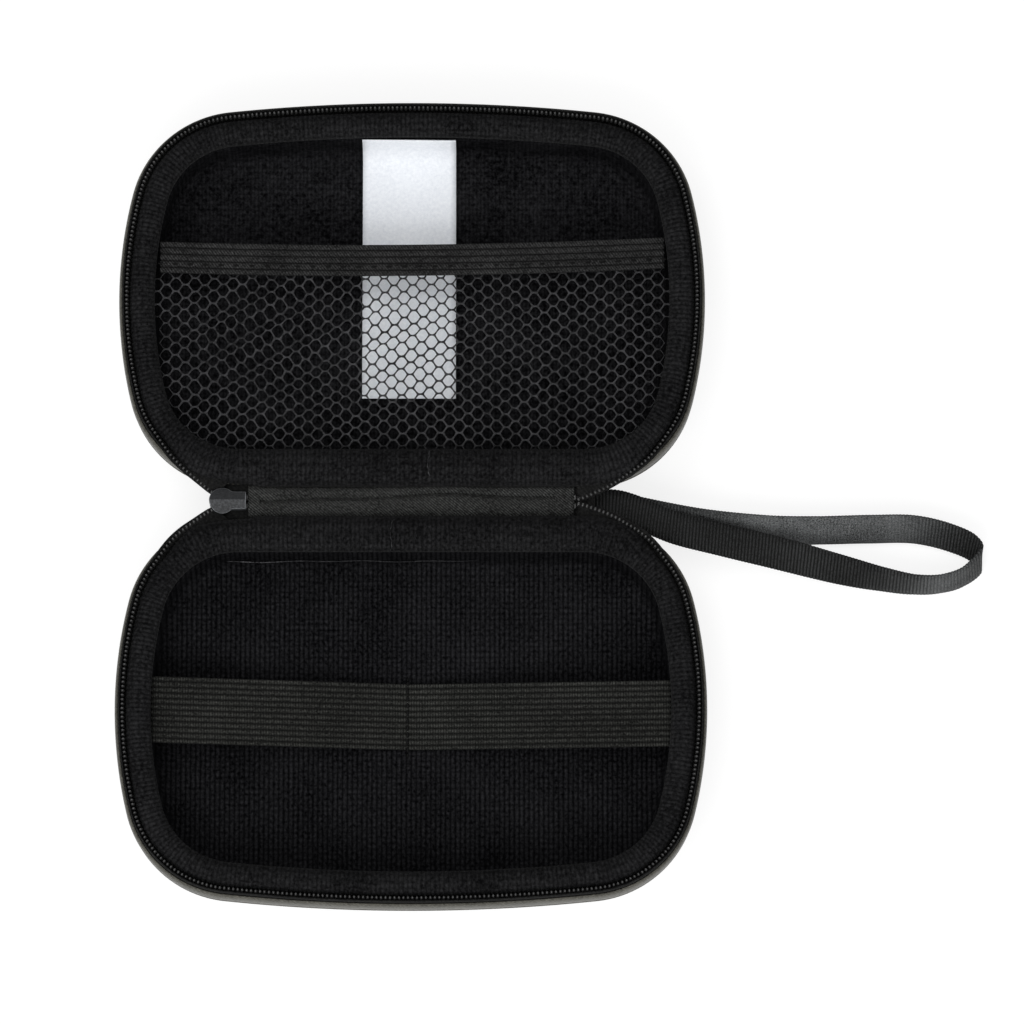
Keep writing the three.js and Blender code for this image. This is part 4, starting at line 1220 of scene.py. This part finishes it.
# Pocket net
# A knitted net of round holes closes the lower part of the lid as a flat pocket. It is caught under the rim
# on three sides, hangs a little slack and wrinkles towards one corner.
net_pitch_u = 0.00547
net_pitch_v = 0.00383
net_inset = 0.0101
net_top_v = 0.0655
net_height = 0.0153
net_thickness = 0.0004
net_sag = 0.0016
net_wrinkle = 0.0016
net_gather = 0.0007
net_edge_reach = 0.03
net_top_reach = 0.02
net_corner_reach = 0.06
net_drift_u = 0.0006
net_drift_v = 0.0008
net_fold_pitch = 0.0095
net_fold_u = -0.45
net_fold_v = 0.89
# The hole's radius by its angle from the case's length, in degrees
net_hole = {0: 0.00172, 35: 0.00150, 70: 0.00170, 90: 0.00172}

net_finish = cloth_finish(
    "net yarn", (0.0015, 0.0015, 0.0018), (0.046, 0.046, 0.049), 0.0013, [],
    roughness=0.42, specular=0.18, bump=0.00010,
)

# One mesh of the net: a six-sided cell round its hole
slant = math.hypot(net_pitch_u, net_pitch_v) / 2
upper_u = (slant**2 - net_pitch_v**2 / 2) / net_pitch_u
side_u = slant**2 / net_pitch_u
cell_corners = np.array([
    (side_u, 0), (upper_u, net_pitch_v / 2), (-upper_u, net_pitch_v / 2),
    (-side_u, 0), (-upper_u, -net_pitch_v / 2), (upper_u, -net_pitch_v / 2),
])
cell_points = []
for corner, following in zip(cell_corners, np.roll(cell_corners, -1, axis=0)):
    for u, v in (corner, (corner + following) / 2):
        angle = math.degrees(math.atan2(abs(v), abs(u)))
        hole_share = np.interp(angle, list(net_hole), list(net_hole.values())) / math.hypot(u, v)
        cell_points += [(u, v, 0), (u * hole_share, v * hole_share, 0)]
cell_faces = [(2 * i, 2 * ((i + 1) % 12), 2 * ((i + 1) % 12) + 1, 2 * i + 1) for i in range(12)]
cell_mesh = bpy.data.meshes.new("net cell")
cell_mesh.from_pydata(cell_points, [], cell_faces)
cell = add_object("net cell", cell_mesh)

# Sets a cell at each given point, joins the cells where they touch and gives the net its yarn
net_tree, given, made = new_tree(
    "Net of cells", {"Places": "Geometry", "Cell": "Object", "Finish": "Material"}, {"Net": "Geometry"}
)
copied = add_node(net_tree, "GeometryNodeObjectInfo", {"Object": given["Cell"]}).outputs["Geometry"]
places = add_node(net_tree, "GeometryNodeMeshToPoints", {0: given["Places"]})
copies = add_node(net_tree, "GeometryNodeInstanceOnPoints", {"Points": places, "Instance": copied})
real = add_node(net_tree, "GeometryNodeRealizeInstances", {0: copies})
joined = add_node(net_tree, "GeometryNodeMergeByDistance", {"Geometry": real, "Distance": 0.00005})
finished = add_node(net_tree, "GeometryNodeSetMaterial", {"Geometry": joined, "Material": given["Finish"]})
feed(made, {"Net": finished})


def from_edge(u, v, inset):
    """How far points are from a half's edge at that inset, and whether they lie inside it"""
    points, outwards, _ = edge_line(400, inset)
    edge = points - outwards * inset
    squares = (u[:, None] - edge[:, 0]) ** 2 + (v[:, None] - edge[:, 1]) ** 2
    nearest = np.argmin(squares, axis=1)
    inside = np.sum((spread(u, v) - edge[nearest]) * outwards[nearest], axis=1) < 0
    return np.sqrt(np.min(squares, axis=1)), inside


columns = np.arange(-30, 31)
rows = np.arange(0, 30)
u, v = np.meshgrid(columns * net_pitch_u / 2, rows * net_pitch_v, indexing="ij")
v = v + np.where(columns % 2 == 0, 0, net_pitch_v / 2)[:, None]
places = spread(u.ravel(), v.ravel(), 0)
held = from_edge(*places.T[:2], net_inset + net_thickness)[1] & (places[:, 1] < net_top_v)
net = add_piece("pocket_net_knit", places[held], [])
use_tree(net, net_tree, cell=cell, finish=net_finish)
bpy.data.objects.remove(cell)

flat = np.empty(len(net.data.vertices) * 3, np.float32)
net.data.vertices.foreach_get("co", flat)
u, v = flat.reshape(-1, 3)[:, :2].T.astype(float)
to_edge = from_edge(u, v, net_inset)[0]
slack = np.clip(to_edge / net_edge_reach, 0, 1) ** 0.7
slack = slack * np.clip((net_top_v - v) / net_top_reach, 0, 1) ** 0.7
towards_corner = np.clip(-u / net_corner_reach, 0, 1)
fold_phase = (net_fold_v * v + net_fold_u * u) * 2 * math.pi / net_fold_pitch + 1.2 * np.sin(u * 70)
wrinkle = np.sin(fold_phase) * (0.2 + 0.8 * towards_corner)
gathered = net_gather * np.cos(fold_phase) * (0.25 + 0.75 * towards_corner) * slack
net_place = spread(
    u + net_fold_u * gathered + net_drift_u * np.sin(v * 150 + u * 40) * slack,
    v + net_fold_v * gathered + net_drift_v * np.sin(u * 85 + 0.6) * slack,
    net_height - net_sag * slack + net_wrinkle * wrinkle * slack,
)
net.data.vertices.foreach_set("co", in_half("lid", net_place).ravel().astype(np.float32))
thicken(net, net_thickness).data.shade_smooth()
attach(net, "lid")
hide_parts("pocket_net")


# Pocket elastic
# A narrower elastic with five ribs is sewn along the net's top edge and keeps the pocket's mouth shut. A row
# of stitches runs along its lowest rib.
mouth_middle_v = 0.0664
mouth_half_width = 0.0049
mouth_reach = 0.0730
mouth_height = 0.0160
mouth_thickness = 0.0010
mouth_ribs = 5
mouth_rib_depth = 0.00045
mouth_tilt = 0.00065
mouth_sag = 0.00155
mouth_ripple = 0.0001
mouth_stitch_pitch = 0.0043
mouth_stitch_drop = 0.0020
mouth_stitch_rise = 0.00005

mouth_finish = cloth_finish(
    "pocket elastic", (0.0010, 0.0010, 0.0011), (0.060, 0.060, 0.060), 0.0006,
    [("rib_at", 2 * mouth_half_width / mouth_ribs, 1.0, 4), ((0.8, 0.6, 0), 0.00070, 0.95, 2)],
    roughness=0.8, specular=0.1, bump=0.00016,
)
mouth_x = np.linspace(-mouth_reach, mouth_reach, elastic_steps)
mouth_share = mouth_x / mouth_reach
mouth_y = spine_half + mouth_middle_v + mouth_tilt * mouth_share + mouth_sag * mouth_share**2
mouth_elastic = elastic_piece(
    "pocket_mouth_elastic", mouth_x, mouth_y, mouth_half_width,
    mouth_height + waves(mouth_x, (mouth_ripple, 70, 0)), mouth_thickness, mouth_ribs, mouth_finish,
    mouth_rib_depth, 4.0,
)
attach(mouth_elastic, "lid")
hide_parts("pocket_elastic")

mouth_stitch_height = mouth_height + mouth_thickness + mouth_stitch_rise
mouth_line = spread(mouth_x, mouth_y - mouth_stitch_drop, mouth_stitch_height)
mouth_row = row_piece("pocket_stitches", [mouth_line], [upright], stitch, mouth_stitch_pitch, thread_finish)
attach(mouth_row, "lid")
bpy.data.objects.remove(stitch)


# Label
# A bare strip of white satin, tucked under the far rim. It comes down the wall and lies on the lid's floor,
# partly behind the net.
label_middle = -0.001
label_half_width = 0.0136
label_thickness = 0.0003
label_steps = 90
label_wave = 0.00012
# The label's middle line, in the lid's own v and height
label_route = [
    (0.1025, 0.0164), (0.1021, 0.0120), (0.1012, 0.0085), (0.0990, 0.0060), (0.0960, 0.0050),
    (0.0900, 0.0048), (0.0750, 0.0048), (0.0550, 0.0048), (0.0400, 0.0048), (0.0279, 0.0050),
]

label_finish = cloth_finish(
    "white satin", (0.79, 0.82, 0.87), (0.92, 0.945, 0.98), 0.0010,
    [((0.64, 0.77, 0), 0.00045, 0.18, 2), ((0.77, -0.64, 0), 0.00045, 0.10, 2)],
    roughness=0.42, specular=0.4, sheen=0.1, bump=0.00003,
)
label_line, _, label_length = smooth_line([(0, v, height) for v, height in label_route], label_steps)
label_along = unit(np.gradient(label_line, axis=0))
label_up = np.cross(np.array([-1.0, 0, 0]), label_along)
label_up *= np.sign(label_up[-1, 2])
down_label = np.linspace(0, 1, label_steps)
sheets = []
for level in (0, label_thickness):
    sheet = []
    for side in np.linspace(-1, 1, 15):
        wave = label_wave * np.sin(down_label * 17 + side) * (1 + side * 0.4)
        aside = np.array([label_middle + side * label_half_width, 0, 0])
        sheet.append(label_line + aside + label_up * (level + wave)[:, None])
    sheets.append(np.stack(sheet))
label_rings = np.concatenate([sheets[0], sheets[1][::-1]])
label = band_piece("satin_label_strip", in_half("lid", label_rings), label_finish)
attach(label, "lid")
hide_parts("fabric_label")
